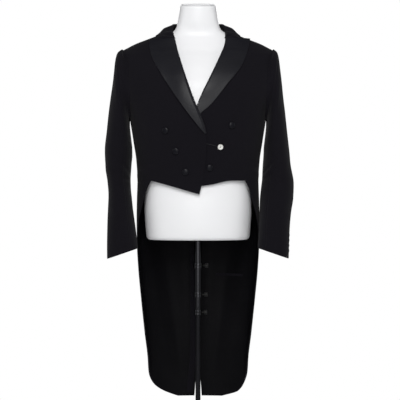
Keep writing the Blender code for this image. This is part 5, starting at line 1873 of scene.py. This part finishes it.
class TAILCOAT_OT_front_buttons(bpy.types.Operator):
    """Sew the covered buttons on the foreparts"""
    bl_idname = "tailcoat.front_buttons"
    bl_label = "Sew Front Buttons"

    def execute(self, context):
        make_front_buttons()
        return {"FINISHED"}


class TAILCOAT_OT_link(bpy.types.Operator):
    """Sew the link button and its cord"""
    bl_idname = "tailcoat.link"
    bl_label = "Sew Link"

    def execute(self, context):
        make_link()
        return {"FINISHED"}


class TAILCOAT_OT_cuff_buttons(bpy.types.Operator):
    """Sew four covered buttons on each cuff"""
    bl_idname = "tailcoat.cuff_buttons"
    bl_label = "Sew Cuff Buttons"

    def execute(self, context):
        make_cuff_buttons()
        return {"FINISHED"}


class TAILCOAT_OT_waist_buttons(bpy.types.Operator):
    """Sew the two covered buttons at the back of the waist"""
    bl_idname = "tailcoat.waist_buttons"
    bl_label = "Sew Waist Buttons"

    def execute(self, context):
        make_waist_buttons()
        return {"FINISHED"}


class TAILCOAT_OT_declare(bpy.types.Operator):
    """Go over the flat cut of every sheet of cloth, keeping nothing of it"""
    bl_idname = "tailcoat.declare"
    bl_label = "State Cuts"

    def execute(self, context):
        declare_sheets()
        return {"FINISHED"}


class TAILCOAT_PT_sidebar(bpy.types.Panel):
    """The tailcoat's settings and its steps in order"""
    bl_label = "White Tie Tailcoat"
    bl_space_type = "VIEW_3D"
    bl_region_type = "UI"
    bl_category = "Tailcoat"

    def draw(self, context):
        for group, kind in GROUPS:
            box = self.layout.box()
            box.label(text=group.title())
            for name in kind.__annotations__:
                box.prop(settings(group), name)
        for step in STEPS:
            self.layout.operator(step.bl_idname)


STEPS = (TAILCOAT_OT_stage, TAILCOAT_OT_form, TAILCOAT_OT_stand, TAILCOAT_OT_foreparts,
         TAILCOAT_OT_side_bodies, TAILCOAT_OT_backs, TAILCOAT_OT_skirts, TAILCOAT_OT_tail_linings,
         TAILCOAT_OT_lapels, TAILCOAT_OT_collar, TAILCOAT_OT_sleeves, TAILCOAT_OT_front_buttons,
         TAILCOAT_OT_link, TAILCOAT_OT_cuff_buttons, TAILCOAT_OT_waist_buttons,
         TAILCOAT_OT_declare)
GROUPS = (("coat", CoatSettings), ("form", FormSettings), ("stage", StageSettings))


def register():
    for name, kind in GROUPS:
        bpy.utils.register_class(kind)
        setattr(bpy.types.Scene, "tailcoat_" + name, PointerProperty(type=kind))
    for kind in (*STEPS, TAILCOAT_PT_sidebar):
        bpy.utils.register_class(kind)


def unregister():
    for kind in reversed((*STEPS, TAILCOAT_PT_sidebar)):
        bpy.utils.unregister_class(kind)
    for name, kind in GROUPS:
        delattr(bpy.types.Scene, "tailcoat_" + name)
        bpy.utils.unregister_class(kind)


def main():
    register()
    for step in STEPS:
        getattr(bpy.ops.tailcoat, step.bl_idname.split(".")[1])()


if __name__ == "__main__":
    main()
